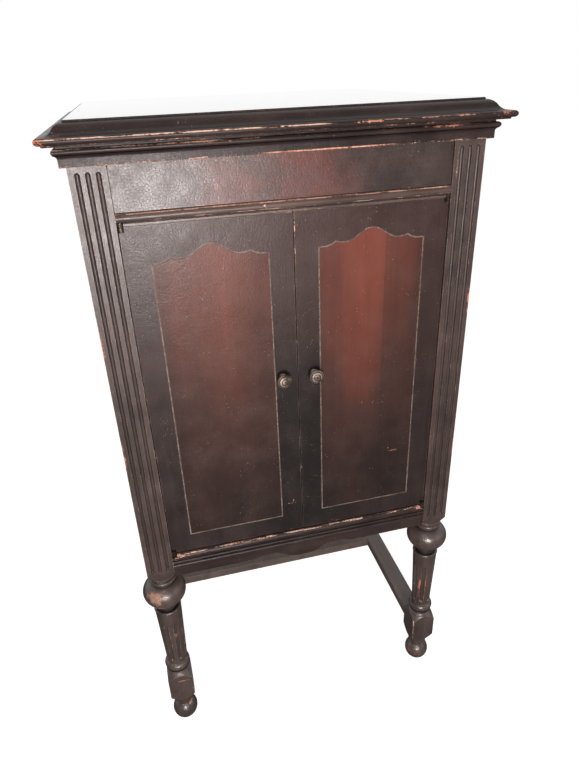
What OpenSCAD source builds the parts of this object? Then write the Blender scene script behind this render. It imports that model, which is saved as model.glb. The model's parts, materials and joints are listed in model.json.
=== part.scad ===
// Cabinet phonograph: a wind-up console with a lid, two doors and turned legs.
// Front faces -Y, the floor is at Z = 0, millimetres.

/* [Case] */
// Width over the corner posts
case_w = 600; // [560:5:680]
// Depth over the corner posts
case_d = 594; // [570:5:660]
// Height of the corner posts
case_h = 737; // [733:1:760]
// Height of the legs, floor to underside of the posts
leg_h = 419; // [415:1:440]
// Side of the square corner posts
post_w = 50; // [46:1:56]
// Thickness of the side panels
panel_t = 12; // [9:1:15]
// How far the side panels lie inside the posts' outer faces
panel_inset = 8; // [4:1:12]
// Thickness of the back panel
back_t = 8; // [6:1:10]
// Thickness of the floor, the shelf and the motor board
board_t = 14; // [12:1:16]

/* [Front] */
// How far the doors and the frieze lie behind the post faces
front_inset = 3; // [2:0.5:4]
// Height of the frieze board
frieze_h = 64; // [58:1:68]
// Thickness of the frieze board and of the board behind it
frieze_t = 16; // [14:1:18]
// Height of the rail above the doors
upper_rail_h = 17; // [15:1:20]
// How far the upper rail stands proud of the post faces
upper_rail_proud = 4; // [3:0.5:6]
// Height of the rail below the doors
base_rail_h = 32; // [30:1:36]
// How far the base rail stands proud of the post faces
base_rail_proud = 5; // [3:0.5:7]
// Height of the base rail above the undersides of the posts
base_rail_lift = 27; // [25:1:32]
// Thickness of the doors
door_t = 19; // [17:1:22]
// Gap round each door
door_gap = 1.5; // [1.2:0.1:2]
// Width of the inlaid line on the doors
inlay_w = 1.6; // [1:0.1:2.5]
// Depth of the groove that the line lies in
inlay_d = 0.8; // [0.5:0.1:1.2]
// Width of the outlined panel on each door
inlay_panel_w = 173; // [150:1:180]
// Height of the outlined panel at its shoulders
inlay_panel_h = 503; // [480:1:510]
// Distance of the outlined panel's middle from the middle of the front
inlay_mid_x = 124.6; // [118:0.1:130]
// Height of the outlined panel above the door's lower edge
inlay_low = 35.5; // [30:0.5:45]
// Rise of the arch above the shoulders
arch_rise = 22.7; // [15:0.5:26]
// Thickness of the shaped apron under the base rail
apron_t = 18; // [15:1:20]
// Depth of the apron below the base rail at its ends
apron_end = 24; // [20:1:26]
// Depth of the apron's middle drop below the base rail
apron_drop = 35; // [32:1:42]

/* [Cornice and lid] */
// Height of the cornice that belongs to the case
cornice_h = 26; // [24:1:30]
// How far the fascia stands out from the posts
fascia_over = 8; // [6:1:10]
// How far the nosing stands out from the posts
nosing_over = 14; // [12:1:17]
// Height of the lid
lid_h = 29; // [27:1:34]
// How far the lid's bead stands out from the posts
bead_over = 30; // [26:1:32]
// Radius of the lid's bead
bead_r = 4.5; // [4:0.5:5]
// How far the lid's flat top lies inside the posts' outer faces
lid_top_in = 5; // [2:1:10]
// Joint between lid and case
lid_gap = 0.4; // [0.3:0.1:0.8]
// How far the lid opens, in degrees
lid_open = 69; // [60:1:69]

/* [Legs] */
// Diameter of the bulb
bulb_d = 82; // [74:1:88]
// Side of the square block where the stretchers meet the leg
block_w = 50; // [44:1:54]
// Height of the middle of the block above the floor
block_z = 111; // [108:1:116]
// Height of the block's flat sides
block_h = 78; // [72:1:82]
// Diameter of the ball foot
foot_d = 52; // [46:1:56]
// Diameter of the flat that the foot stands on
foot_flat = 22; // [16:1:28]
// Diameter of the fluted taper at its top
taper_top_d = 50; // [46:1:54]
// Diameter of the fluted taper at its bottom
taper_bot_d = 39; // [37:1:42]
// Flutes round each leg
leg_flutes = 8; // [6:1:10]
// Height of the middle of the stretchers above the floor
stretcher_z = 108; // [104:1:112]
// How far the cross stretcher lies behind the middle
cross_back = 25; // [0:1:40]
// Width of the stretchers
stretcher_w = 38; // [32:1:42]
// Thickness of the stretchers
stretcher_t = 21; // [18:1:24]

/* [Post flutes] */
// Flutes on the face of each front post
post_flutes = 3; // [2:1:4]
// Distance from flute to flute
flute_pitch = 13.6; // [11:0.2:14]
// Width of a flute
flute_w = 7; // [5:0.2:8]
// Depth of a flute
flute_d = 3; // [1.5:0.1:3.2]
// Flat left above and below the flutes
flute_end = 8; // [6:1:14]

/* [Knobs and hinges] */
// Diameter of the door knobs
knob_d = 23.6; // [16:0.4:28]
// How far the knobs stand out from the doors
knob_out = 22; // [18:1:28]
// Distance of the knobs from the middle of the front
knob_x = 27; // [22:1:34]
// Height of the knobs above the doors' lower edges
knob_up = 328; // [250:1:340]
// Radius of the door pivots' knuckles
pivot_r = 4.2; // [3.8:0.1:4.4]
// Radius of the door pivots' pins
pivot_pin_r = 1.4; // [1.2:0.1:1.6]
// Radial clearance of pins and shafts in their bores
run_fit = 0.05; // [0.04:0.01:0.08]
// Radius of the lid hinges' knuckles
hinge_r = 4; // [3.6:0.1:4.4]
// Distance of the lid hinges from the middle
hinge_x = 190; // [150:1:220]

/* [Deck] */
// Depth of the motor board below the post tops
deck_down = 116; // [112:1:120]
// Height of the record compartments
record_h = 268; // [262:1:275]
// Thickness of the record dividers
divider_t = 8; // [6:1:10]
// Compartments for records
record_bays = 4; // [3:1:5]
// Diameter of the turntable
turntable_d = 305; // [292:1:310]
// Height of the turntable's top above the motor board
turntable_up = 26; // [24:1:30]
// Distance of the spindle left of the middle
spindle_left = 35; // [30:1:40]
// Distance of the spindle in front of the middle
spindle_front = 25; // [20:1:30]
// Diameter of the spindle's pin in the record hole
spindle_pin_d = 7.1; // [6.8:0.1:7.2]
// Distance of the tone arm's pivot right of the middle
pivot_right = 165; // [160:1:175]
// Distance of the tone arm's pivot behind the middle
pivot_back = 170; // [165:1:180]
// Length of the tone arm from its pivot to its end
arm_l = 225; // [215:1:230]
// Height of the tone arm's middle above the motor board
arm_up = 65; // [64:1:68]
// Diameter of the sound box
box_d = 54; // [48:1:55]

/* [Motor and crank] */
// Module of the gears
gear_m = 1.5; // [1.5:0.1:1.6]
// Teeth of the spring barrel's gear
barrel_teeth = 56; // [54:1:58]
// Teeth of the intermediate wheel
wheel_teeth = 40; // [38:1:42]
// Teeth of every pinion
pinion_teeth = 12; // [12:1:13]
// Distance from the spindle to the spring barrel
barrel_dist = 80; // [78:1:84]
// Diameter of the spring barrel
barrel_d = 80; // [74:1:82]
// Height of the spring barrel
barrel_h = 38; // [34:1:40]
// Length of the crank arm
crank_l = 95; // [80:1:110]
// Length of the crank grip
grip_l = 62; // [50:1:70]
// Diameter of the crank grip
grip_d = 26; // [22:1:30]

/* [Hidden] */
$fn = 64;

// Outer planes of the case
x_out = case_w / 2;
y_front = -case_d / 2;
y_back = case_d / 2;
post_z0 = leg_h;
post_z1 = leg_h + case_h;
// The door opening
open_x = x_out - post_w;
rail_z0 = post_z0 + base_rail_lift;
open_z0 = rail_z0 + base_rail_h;
frieze_z0 = post_z1 - frieze_h;
open_z1 = frieze_z0 - upper_rail_h;
face_y = y_front + front_inset;
door_back_y = face_y + door_t;
stop_gap = 2;
inner_front_y = door_back_y + stop_gap;
// Inside faces of the case
panel_x = x_out - panel_inset - panel_t;
back_y = y_back - 4 - back_t;
panel_y = y_back - post_w;
// Boards, their top faces
floor_z = open_z0 - 4;
shelf_z = floor_z + record_h + board_t;
deck_z = post_z1 - deck_down;
deck_under = deck_z - board_t;
// Lid
seam_z = post_z1 + cornice_h;
lid_z0 = seam_z + lid_gap;
lid_z1 = lid_z0 + lid_h;
lid_axis_y = y_back + hinge_r + 0.3;
cornice_in = 34;
// Doors
door_w = open_x - 1.5 * door_gap;
door_z0 = open_z0 + door_gap;
door_z1 = open_z1 - door_gap;
pivot_x = open_x - pivot_r - 0.6;
pivot_y = y_front + 1;
knob_z = door_z0 + knob_up;
// Turntable and tone arm
spin_x = -spindle_left;
spin_y = -spindle_front;
platter_z = deck_z + turntable_up;
felt_t = 1.5;
felt_z = platter_z + felt_t;
record_z = felt_z + 2.2;
arm_x = pivot_right;
arm_y = pivot_back;
arm_z = deck_z + arm_up;
arm_end_y = arm_y - arm_l;
box_y = arm_end_y - 40;
box_z = arm_z + 2;
// Motor
pinion_r = gear_m * pinion_teeth / 2;
wheel_r = gear_m * wheel_teeth / 2;
barrel_r = gear_m * barrel_teeth / 2;
link_a = pinion_r + wheel_r;
link_b = pinion_r + barrel_r;
barrel_x = spin_x + barrel_dist;
mid_dx = (link_a * link_a - link_b * link_b + barrel_dist * barrel_dist) / (2 * barrel_dist);
mid_dy = sqrt(link_a * link_a - mid_dx * mid_dx);
mid_x = spin_x + mid_dx;
mid_y = spin_y + mid_dy;
motor_top = deck_under - 20;
motor_bot = deck_under - 109;
plate_t = 4;
crank_z = motor_bot + plate_t + 15;
drum_z = crank_z + pinion_r + 2;
shaft_r = 3;
fiber_r = 25;
gov_z = motor_bot + plate_t + 25;
gov_y = spin_y - fiber_r - 5;

WOOD_DARK = "#2f1d18";
WOOD_RED = "#5a2a1e";
WOOD_PLAIN = "#6b4a33";
BRASS = "#9a7b45";
NICKEL = "#b9b6ae";
STEEL = "#7d7f82";

// Box between two corners
module span(a, b) {
    translate(a) cube(b - a);
}

// Rod along X from one point, with its radius and length
module rod_x(p, r, l) {
    translate(p) rotate([0, 90, 0]) cylinder(r = r, h = l);
}

// Rod along Y from one point
module rod_y(p, r, l) {
    translate(p) rotate([-90, 0, 0]) cylinder(r = r, h = l);
}

// The same piece on the other side
module mirrored() {
    mirror([1, 0, 0]) children();
}

// Square corner post on the right side with its lower end turned, y0 is its front face
module corner_post(y0) {
    turn_h = 15;
    wide = post_w * 0.72;
    span([x_out - post_w, y0, post_z0 + turn_h], [x_out, y0 + post_w, post_z1]);
    intersection() {
        span([x_out - post_w, y0, post_z0], [x_out, y0 + post_w, post_z0 + turn_h + 1]);
        translate([x_out - post_w / 2, y0 + post_w / 2, 0]) rotate_extrude() polygon([
            [0, post_z0], [post_w / 2 - 1, post_z0], [wide, post_z0 + turn_h],
            [wide, post_z0 + turn_h + 1], [0, post_z0 + turn_h + 1]
        ]);
    }
}

// Front post with its round-ended flutes
module fluted_post() {
    cut_r = (flute_w * flute_w / 4 + flute_d * flute_d) / (2 * flute_d);
    cut_y = y_front - (cut_r - flute_d);
    low = post_z0 + base_rail_lift - 4 + cut_r;
    high = post_z1 - flute_end - flute_w / 2;
    difference() {
        corner_post(y_front);
        for (i = [1 : post_flutes]) {
            x = x_out - post_w / 2 + (i - (post_flutes + 1) / 2) * flute_pitch;
            translate([x, cut_y, low]) cylinder(r = cut_r, h = high - low);
            translate([x, cut_y, low]) sphere(r = cut_r);
            translate([x, cut_y, high]) sphere(r = cut_r);
        }
    }
}

module front_right_post() {
    color(WOOD_DARK) fluted_post();
}

module front_left_post() {
    color(WOOD_DARK) mirrored() fluted_post();
}

module rear_right_post() {
    color(WOOD_DARK) corner_post(y_back - post_w);
}

module rear_left_post() {
    color(WOOD_DARK) mirrored() corner_post(y_back - post_w);
}

module side_panel() {
    span([panel_x, -panel_y, post_z0 + 5], [panel_x + panel_t, panel_y, post_z1]);
}

module right_side_panel() {
    color(WOOD_DARK) difference() {
        side_panel();
        rod_x([panel_x - 1, spin_y, crank_z], 7, panel_t + 2);
    }
}

module left_side_panel() {
    color(WOOD_DARK) mirrored() side_panel();
}

module back_panel() {
    color(WOOD_PLAIN) span([-open_x, back_y, post_z0 + 5], [open_x, back_y + back_t, post_z1]);
}

// Board with its corners cut out for the posts
module notched_board(z0, t, y0, y1) {
    span([-panel_x, -panel_y, z0], [panel_x, panel_y, z0 + t]);
    span([-open_x, y0, z0], [open_x, y1, z0 + t]);
}

module cabinet_floor() {
    color(WOOD_PLAIN) notched_board(floor_z - board_t, board_t, door_back_y, back_y);
}

module record_shelf() {
    color(WOOD_PLAIN) notched_board(shelf_z - board_t, board_t, inner_front_y, back_y);
}

module record_dividers() {
    color(WOOD_PLAIN) for (i = [1 : record_bays - 1]) {
        x = -open_x + i * 2 * open_x / record_bays;
        span([x - divider_t / 2, inner_front_y + 8, floor_z],
             [x + divider_t / 2, back_y, shelf_z - board_t]);
    }
}

module motor_board() {
    color(WOOD_RED) difference() {
        notched_board(deck_under, board_t, inner_front_y, back_y);
        translate([spin_x, spin_y, deck_under - 1]) cylinder(r = 9, h = board_t + 2);
        translate([arm_x, arm_y, deck_under - 1]) cylinder(r = 22.4, h = board_t + 2);
    }
}

// Visible frieze board with the board behind it that closes the well
module frieze_panel() {
    inner_y = inner_front_y + frieze_t;
    color(WOOD_RED) rotate([90, 0, 90])
        translate([0, 0, -open_x]) linear_extrude(2 * open_x)
            polygon([
                [face_y, frieze_z0], [face_y, post_z1], [inner_y, post_z1],
                [inner_y, deck_z], [inner_front_y, deck_z], [inner_front_y, frieze_z0]
            ]);
}

// Half-round edge of a rail, drawn as a profile with the face at x = 0
module bead(z0, h, proud) {
    r = h / 2;
    translate([proud - r, z0 + r]) circle(r = r);
    if (proud > r) translate([-1, z0]) square([proud - r + 1, h]);
}

// Lay a front profile along X between the posts, outward is -Y
module along_front(half) {
    translate([-half, y_front, 0]) rotate([90, 0, 90])
        linear_extrude(2 * half) mirror([1, 0]) children();
}

// Notches in the ends of a rail for the pivot knuckles
module knuckle_notches(z0, z1) {
    r = pivot_r + 0.2;
    for (s = [0, 1]) mirror([s, 0, 0]) {
        translate([pivot_x, pivot_y, z0]) cylinder(r = r, h = z1 - z0);
        span([pivot_x, y_front - 10, z0], [open_x + 1, pivot_y + r, z1]);
        span([pivot_x - r, y_front - 10, z0], [pivot_x + 1, pivot_y, z1]);
    }
}

module upper_rail() {
    depth = inner_front_y - y_front;
    fillet_h = 4;
    color(WOOD_DARK) difference() {
        along_front(open_x) {
            bead(open_z1 + fillet_h, upper_rail_h - fillet_h, upper_rail_proud);
            translate([-depth, open_z1]) square([depth, upper_rail_h]);
            translate([-depth, open_z1]) square([depth + upper_rail_proud - 2, fillet_h - 0.8]);
        }
        knuckle_notches(open_z1 - 1, open_z1 + 5.4);
        for (s = [-1, 1])
            translate([s * 18, door_back_y - 8, open_z1 - 1]) cylinder(r = 3.6, h = 11.2);
    }
}

// Nosing on top, then a groove, a small bead, another groove and a last bead
module base_rail() {
    depth = door_back_y - y_front;
    nose_h = 14;
    color(WOOD_DARK) difference() {
        along_front(open_x) {
            translate([-depth, rail_z0]) square([depth, base_rail_h]);
            bead(open_z0 - nose_h, nose_h, base_rail_proud);
            bead(open_z0 - nose_h - 7.5, 6, base_rail_proud - 1.5);
            bead(rail_z0 + 0.5, base_rail_h - nose_h - 9.5, base_rail_proud - 1);
        }
        knuckle_notches(open_z0 - 5.4, open_z0 + 1);
    }
}

// Shaped apron: straight ends, a shallow arch on each side, a small drop in the middle
module front_apron() {
    end_z = rail_z0 - apron_end;
    drop_z = rail_z0 - apron_drop;
    side = [
        [open_x, end_z], [100, end_z], [94, end_z + 1.5], [85, end_z + 5], [70, end_z + 6],
        [55, end_z + 5], [44, end_z + 2], [34, end_z - 4], [24, drop_z + 1.5], [12, drop_z]
    ];
    outline = concat(
        [[-open_x, rail_z0], [open_x, rail_z0]], side,
        [for (i = [len(side) - 1 : -1 : 0]) [-side[i][0], side[i][1]]]
    );
    color(WOOD_DARK) translate([0, face_y + apron_t, 0]) rotate([90, 0, 0])
        linear_extrude(apron_t) polygon(outline);
}

// Cornice profiles, drawn with the posts' outer plane at x = 0 and z = 0 at the bottom
module case_cornice_half() {
    nose_r = 4;
    nose_z = cornice_h - 7;
    cove_r = nosing_over - 1 - fascia_over;
    translate([-60, 0]) square([60 + fascia_over, nose_z - nose_r]);
    translate([-60, nose_z - nose_r]) square([60 + nosing_over - nose_r, 2 * nose_r]);
    difference() {
        translate([0, nose_z - nose_r - cove_r]) square([nosing_over - 1, cove_r]);
        translate([nosing_over - 1, nose_z - nose_r - cove_r]) circle(r = cove_r);
    }
    translate([nosing_over - nose_r, nose_z]) circle(r = nose_r);
    translate([-60, 0]) square([60 + fascia_over, cornice_h]);
}

// Two tangent arcs lead from the bead up to the lid's flat top
module lid_half() {
    low_x = bead_over - 2 * bead_r + 1;
    low_z = 2.5 + 2 * bead_r;
    top_x = -lid_top_in;
    top_z = lid_h - 2.5;
    run = low_x - top_x;
    rise = top_z - low_z;
    arc_r = (run * run + rise * rise) / (4 * rise);
    translate([-60, 0]) square([60 + bead_over - 7, 2.5]);
    translate([-60, 2.5]) square([60 + bead_over - bead_r, 2 * bead_r]);
    translate([bead_over - bead_r, 2.5 + bead_r]) circle(r = bead_r);
    translate([-60, 0]) square([60 + top_x, lid_h]);
    intersection() {
        translate([top_x - 1, low_z + rise / 2]) square([run / 2 + 1, rise / 2]);
        translate([top_x, top_z - arc_r]) circle(r = arc_r, $fn = 128);
    }
    translate([top_x - 1, low_z - 1]) square([run / 2 + 1, rise / 2 + 1]);
    difference() {
        translate([top_x, low_z - 1]) square([run, rise / 2 + 1]);
        translate([low_x, low_z + arc_r]) circle(r = arc_r, $fn = 128);
    }
}

// A profile carried round the front and both sides with mitred corners
module three_sides(z, h) {
    big = case_w + case_d;
    intersection() {
        translate([0, y_back, z]) rotate([90, 0, 0]) linear_extrude(big) {
            translate([x_out, 0]) children();
            mirror([1, 0]) translate([x_out, 0]) children();
            translate([-x_out + 50, 0]) square([case_w - 100, h]);
        }
        translate([-big / 2, 0, z]) rotate([90, 0, 90]) linear_extrude(big) {
            mirror([1, 0]) translate([-y_front, 0]) children();
            translate([y_front + 50, 0]) square([case_d - 50, h]);
        }
    }
}

module case_cornice() {
    color(WOOD_DARK) difference() {
        three_sides(post_z1, cornice_h) case_cornice_half();
        span([-x_out + cornice_in, inner_front_y + frieze_t, post_z1 - 1],
             [x_out - cornice_in, back_y - 4, seam_z + 1]);
    }
}

module lid() {
    color(WOOD_DARK) three_sides(lid_z0, lid_h) lid_half();
}

// Turned leg: ball foot, square block, ring, fluted taper, cup and bulb
module turned_leg() {
    foot_r = foot_d / 2;
    foot_z = sqrt(foot_r * foot_r - foot_flat * foot_flat / 4);
    block_z0 = block_z - block_h / 2;
    block_z1 = block_z + block_h / 2;
    half_block = block_w / 2;
    shaft_z0 = block_z1 + 32;
    shaft_z1 = leg_h - 91;
    bot_r = taper_bot_d / 2;
    top_r = taper_top_d / 2;
    slope = (top_r - bot_r) / (shaft_z1 - shaft_z0);
    cut_r = 4.8;
    cut_l = shaft_z1 - shaft_z0 - 47;
    bulb_r = 26;
    bulb_z = leg_h - 43;
    bulb_mid = bulb_d / 2 - bulb_r;
    intersection() {
        translate([0, 0, foot_z]) sphere(r = foot_r);
        cylinder(r = foot_d, h = foot_d);
    }
    rotate_extrude() polygon([
        [0, foot_z], [15, foot_z + 20], [17, foot_z + 26], [20, foot_z + 34],
        [21, block_z0 - 4], [21, block_z0 + 1], [0, block_z0 + 1]
    ]);
    intersection() {
        translate([-half_block, -half_block, block_z0]) cube([block_w, block_w, block_h]);
        rotate_extrude() polygon([
            [0, block_z0], [half_block - 2, block_z0], [block_w * 0.72, block_z0 + 16],
            [block_w * 0.72, block_z1 - 14], [half_block - 1, block_z1], [0, block_z1]
        ]);
    }
    rotate_extrude() union() {
        polygon([
            [0, block_z1 - 1], [half_block - 0.5, block_z1 - 1], [half_block - 0.5, block_z1 + 1],
            [21, block_z1 + 5], [21, block_z1 + 9], [23.5, block_z1 + 12], [0, block_z1 + 12]
        ]);
        translate([0, block_z1 + 11]) square([20, 20]);
        translate([16, block_z1 + 21.5]) circle(r = 9.5);
        translate([0, block_z1 + 12]) square([18, 20]);
    }
    difference() {
        translate([0, 0, shaft_z0 - 2])
            cylinder(r1 = bot_r - 2 * slope, r2 = top_r, h = shaft_z1 - shaft_z0 + 2);
        for (i = [0 : leg_flutes - 1]) rotate([0, 0, (i + 0.5) * 360 / leg_flutes])
            translate([bot_r + 14 * slope + 1.8, 0, shaft_z0 + 14]) rotate([0, atan(slope), 0]) {
                cylinder(r = cut_r, h = cut_l);
                sphere(r = cut_r);
                translate([0, 0, cut_l]) sphere(r = cut_r);
            }
    }
    rotate_extrude() union() {
        translate([0, shaft_z1 - 1]) square([top_r - 1, 4]);
        translate([top_r - 2, shaft_z1 + 2.5]) circle(r = 3);
        polygon([
            [0, shaft_z1 + 2], [18, shaft_z1 + 2], [18, shaft_z1 + 9], [22.5, shaft_z1 + 24],
            [0, shaft_z1 + 24]
        ]);
        intersection() {
            translate([bulb_mid, bulb_z]) circle(r = bulb_r);
            translate([0, bulb_z - bulb_r]) square([bulb_d, 2 * bulb_r]);
        }
        translate([0, bulb_z - bulb_r]) square([bulb_mid, 2 * bulb_r]);
        translate([0, bulb_z + 20]) square([22.5, leg_h - bulb_z - 20]);
        translate([22, leg_h - 11]) circle(r = 4);
        translate([0, leg_h - 5]) square([24, 5]);
    }
}

leg_x = x_out - post_w / 2;
leg_y = y_back - post_w / 2;

module placed_leg(sx, sy) {
    color(WOOD_DARK) translate([sx * leg_x, sy * leg_y, 0]) turned_leg();
}

module front_left_leg() {
    placed_leg(-1, -1);
}

module front_right_leg() {
    placed_leg(1, -1);
}

module rear_left_leg() {
    placed_leg(-1, 1);
}

module rear_right_leg() {
    placed_leg(1, 1);
}

module side_stretcher() {
    span([leg_x - stretcher_w / 2, -leg_y + block_w / 2, stretcher_z - stretcher_t / 2],
         [leg_x + stretcher_w / 2, leg_y - block_w / 2, stretcher_z + stretcher_t / 2]);
}

module right_stretcher() {
    color(WOOD_DARK) side_stretcher();
}

module left_stretcher() {
    color(WOOD_DARK) mirrored() side_stretcher();
}

module cross_stretcher() {
    half = leg_x - stretcher_w / 2;
    front = cross_back - stretcher_w / 2;
    color(WOOD_DARK) span([-half, front, stretcher_z - stretcher_t / 2],
                          [half, front + stretcher_w, stretcher_z + stretcher_t / 2]);
}

// Arch over the panel line, as shares of its width and of its rise
ARCH = [
    [0, 0], [0.07, 0.01], [0.12, 0.12], [0.16, 0.30], [0.19, 0.23], [0.23, 0.19],
    [0.28, 0.21], [0.32, 0.33], [0.36, 0.52], [0.40, 0.73], [0.44, 0.90], [0.47, 0.97]
];

function arch_line(w) = concat(
    [for (p = ARCH) [p[0] * w - w / 2, p[1] * arch_rise]],
    [[0, arch_rise]],
    [for (i = [len(ARCH) - 1 : -1 : 0]) [w / 2 - ARCH[i][0] * w, ARCH[i][1] * arch_rise]]
);

// Outline of the panel on a door, smaller by a margin all round
module panel_outline(margin) {
    w = inlay_panel_w - 2 * margin;
    shoulder = inlay_panel_h - margin;
    polygon(concat(
        [[w / 2, margin], [-w / 2, margin]],
        [for (p = arch_line(w)) [p[0], p[1] + shoulder]]
    ));
}

// Leaf of a pivot: a plate on the edge of the board with a tongue to its knuckle
module pivot_leaf(z0, z1, margin) {
    leaf_l = 26;
    span([pivot_x - leaf_l - margin, face_y + 4 - margin, z0],
         [pivot_x + margin, door_back_y - 3 + margin, z1]);
    span([pivot_x - 3 - margin, pivot_y, z0], [pivot_x + margin, face_y + 5, z1]);
}

// Knuckle and leaf at the top of a door
module door_leaf() {
    difference() {
        union() {
            translate([pivot_x, pivot_y, -7]) cylinder(r = pivot_r, h = 7);
            pivot_leaf(-1.2, 0, 0);
        }
        translate([pivot_x, pivot_y, -8]) cylinder(r = pivot_pin_r + run_fit, h = 9);
    }
}

// Knuckle, leaf and pin above the top of a door
module case_bracket() {
    translate([pivot_x, pivot_y, 0.3 - door_gap]) cylinder(r = pivot_r, h = 4.7 + door_gap);
    translate([pivot_x, pivot_y, -door_gap - 6]) cylinder(r = pivot_pin_r, h = 7);
    pivot_leaf(-0.8, 0, 0);
}

// Both ends of a door, from what is drawn at its top end
module at_both_ends(z_top, z_bot) {
    translate([0, 0, z_top]) children();
    translate([0, 0, z_bot]) mirror([0, 0, 1]) children();
}

module panel_groove() {
    translate([inlay_mid_x, face_y + inlay_d, door_z0 + inlay_low]) rotate([90, 0, 0])
        linear_extrude(inlay_d + 1) difference() {
            panel_outline(0);
            panel_outline(inlay_w);
        }
}

// Right door with its panel line, its knob hole and the cuts for its pivots
module door_board() {
    x0 = door_gap / 2;
    difference() {
        span([x0, face_y, door_z0], [x0 + door_w, door_back_y, door_z1]);
        panel_groove();
        rod_y([knob_x, face_y - 1, knob_z], 2.7, door_t + 2);
        at_both_ends(door_z1, door_z0) {
            translate([pivot_x, pivot_y, -7.2]) cylinder(r = pivot_r + 0.15, h = 9);
            pivot_leaf(-1.3, 1, 0.1);
        }
    }
}

module right_door() {
    color(WOOD_RED) door_board();
}

module left_door() {
    color(WOOD_RED) mirrored() door_board();
}

module pivots_on_door() {
    at_both_ends(door_z1, door_z0) door_leaf();
}

module right_door_pivots() {
    color(BRASS) pivots_on_door();
}

module left_door_pivots() {
    color(BRASS) mirrored() pivots_on_door();
}

module door_pivot_brackets() {
    color(BRASS) for (s = [0, 1]) mirror([s, 0, 0])
        at_both_ends(open_z1, open_z0) case_bracket();
}

// Turned knob: rosette, waisted stem and a face with rings; its bolt goes through the door
module knob() {
    face_r = knob_d / 2;
    translate([knob_x, face_y, knob_z]) rotate([90, 0, 0]) {
        rotate_extrude() difference() {
            polygon([
                [0, 0], [6.4, 0], [6.4, 1.4], [5, 2.6], [3.6, 5], [3.4, knob_out * 0.5],
                [4.8, knob_out * 0.62], [face_r * 0.8, knob_out * 0.7],
                [face_r, knob_out * 0.77], [face_r, knob_out * 0.86],
                [face_r * 0.86, knob_out * 0.95], [face_r * 0.6, knob_out * 0.97],
                [3, knob_out], [0, knob_out]
            ]);
            translate([face_r * 0.72, knob_out * 1.01]) circle(r = 0.9, $fn = 24);
            translate([face_r * 0.42, knob_out * 1.03]) circle(r = 0.9, $fn = 24);
        }
    }
    rod_y([knob_x, face_y, knob_z], 2.5, door_t);
    rod_y([knob_x, door_back_y, knob_z], 4.5, 1.6);
}

module right_knob() {
    color(BRASS) knob();
}

module left_knob() {
    color(BRASS) mirrored() knob();
}

// Ball catches let into the underside of the upper rail
module door_catches() {
    color(BRASS) for (s = [-1, 1]) translate([s * 18, door_back_y - 8, 0]) {
        translate([0, 0, open_z1]) cylinder(r = 3.5, h = 10);
        translate([0, 0, open_z1 + 1.2]) sphere(r = 2.3);
    }
}

// Grille: a board with an opening crossed by shaped slats
module grille() {
    t = 10;
    z0 = shelf_z;
    z1 = deck_under;
    open_w = 2 * open_x - 60;
    slats = 6;
    pitch = open_w / (slats + 1);
    color(WOOD_RED) translate([0, inner_front_y + t, 0]) rotate([90, 0, 0]) linear_extrude(t) {
        difference() {
            translate([-open_x, z0]) square([2 * open_x, z1 - z0]);
            translate([-open_w / 2, z0 + 24]) square([open_w, z1 - z0 - 48]);
        }
        for (i = [1 : slats]) translate([-open_w / 2 + i * pitch, 0]) {
            translate([-5, z0 + 20]) square([10, z1 - z0 - 40]);
            for (k = [0.25, 0.5, 0.75]) translate([0, z0 + (z1 - z0) * k]) circle(r = 11);
        }
    }
}

module grille_cloth() {
    y = inner_front_y + 10;
    color("#8a7450") span([-open_x + 20, y, shelf_z + 12], [open_x - 20, y + 1, deck_under - 12]);
}

// Horn: a wooden box that narrows under the motor and turns up to the tone arm
horn_y = inner_front_y + 11;
horn_wall = 8;

module horn_box(x0, x1, y0, y1, z0, z1, wall) {
    span([x0 + wall, y0, z0 + wall], [x1 - wall, y1, z1 - wall]);
}

module horn_shape(wall, over) {
    low = shelf_z;
    bend_top = low + 130;
    hull() {
        horn_box(-open_x + 10, open_x - 10, horn_y - over, horn_y + 4, low, deck_under - 8, wall);
        horn_box(-190, 205, -110, -106, low, bend_top, wall);
    }
    hull() {
        horn_box(-190, 205, -110, -106, low, bend_top, wall);
        horn_box(arm_x - 50, arm_x + 50, arm_y - 55, arm_y + 50 - wall, low, bend_top, wall);
    }
    hull() {
        horn_box(arm_x - 50, arm_x + 50, arm_y - 55, arm_y + 50 - wall, low, bend_top, wall);
        translate([arm_x, arm_y, deck_under - 60]) cylinder(r = 30.3 - wall, h = 20 + over, $fn = 32);
    }
}

module horn() {
    color(WOOD_PLAIN) difference() {
        horn_shape(0, 0);
        horn_shape(horn_wall, 2);
    }
}

module tone_arm_base() {
    top = arm_z - 24;
    color(NICKEL) translate([arm_x, arm_y, 0]) rotate_extrude() polygon([
        [18, deck_under - 46], [22, deck_under - 46], [22, deck_z], [40, deck_z],
        [40, deck_z + 4], [32, deck_z + 7], [29, deck_z + 14], [28, top - 4],
        [30, top - 3], [30, top], [18, top]
    ]);
}

module arm_rest() {
    top = arm_z - 14.3;
    color(NICKEL) translate([arm_x, arm_y - arm_l * 0.75, 0]) {
        translate([0, 0, deck_z]) cylinder(r = 11, h = 3);
        translate([0, 0, deck_z]) cylinder(r = 4, h = top - deck_z);
        translate([0, 0, top - 4]) cylinder(r = 8, h = 4);
    }
}

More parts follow.
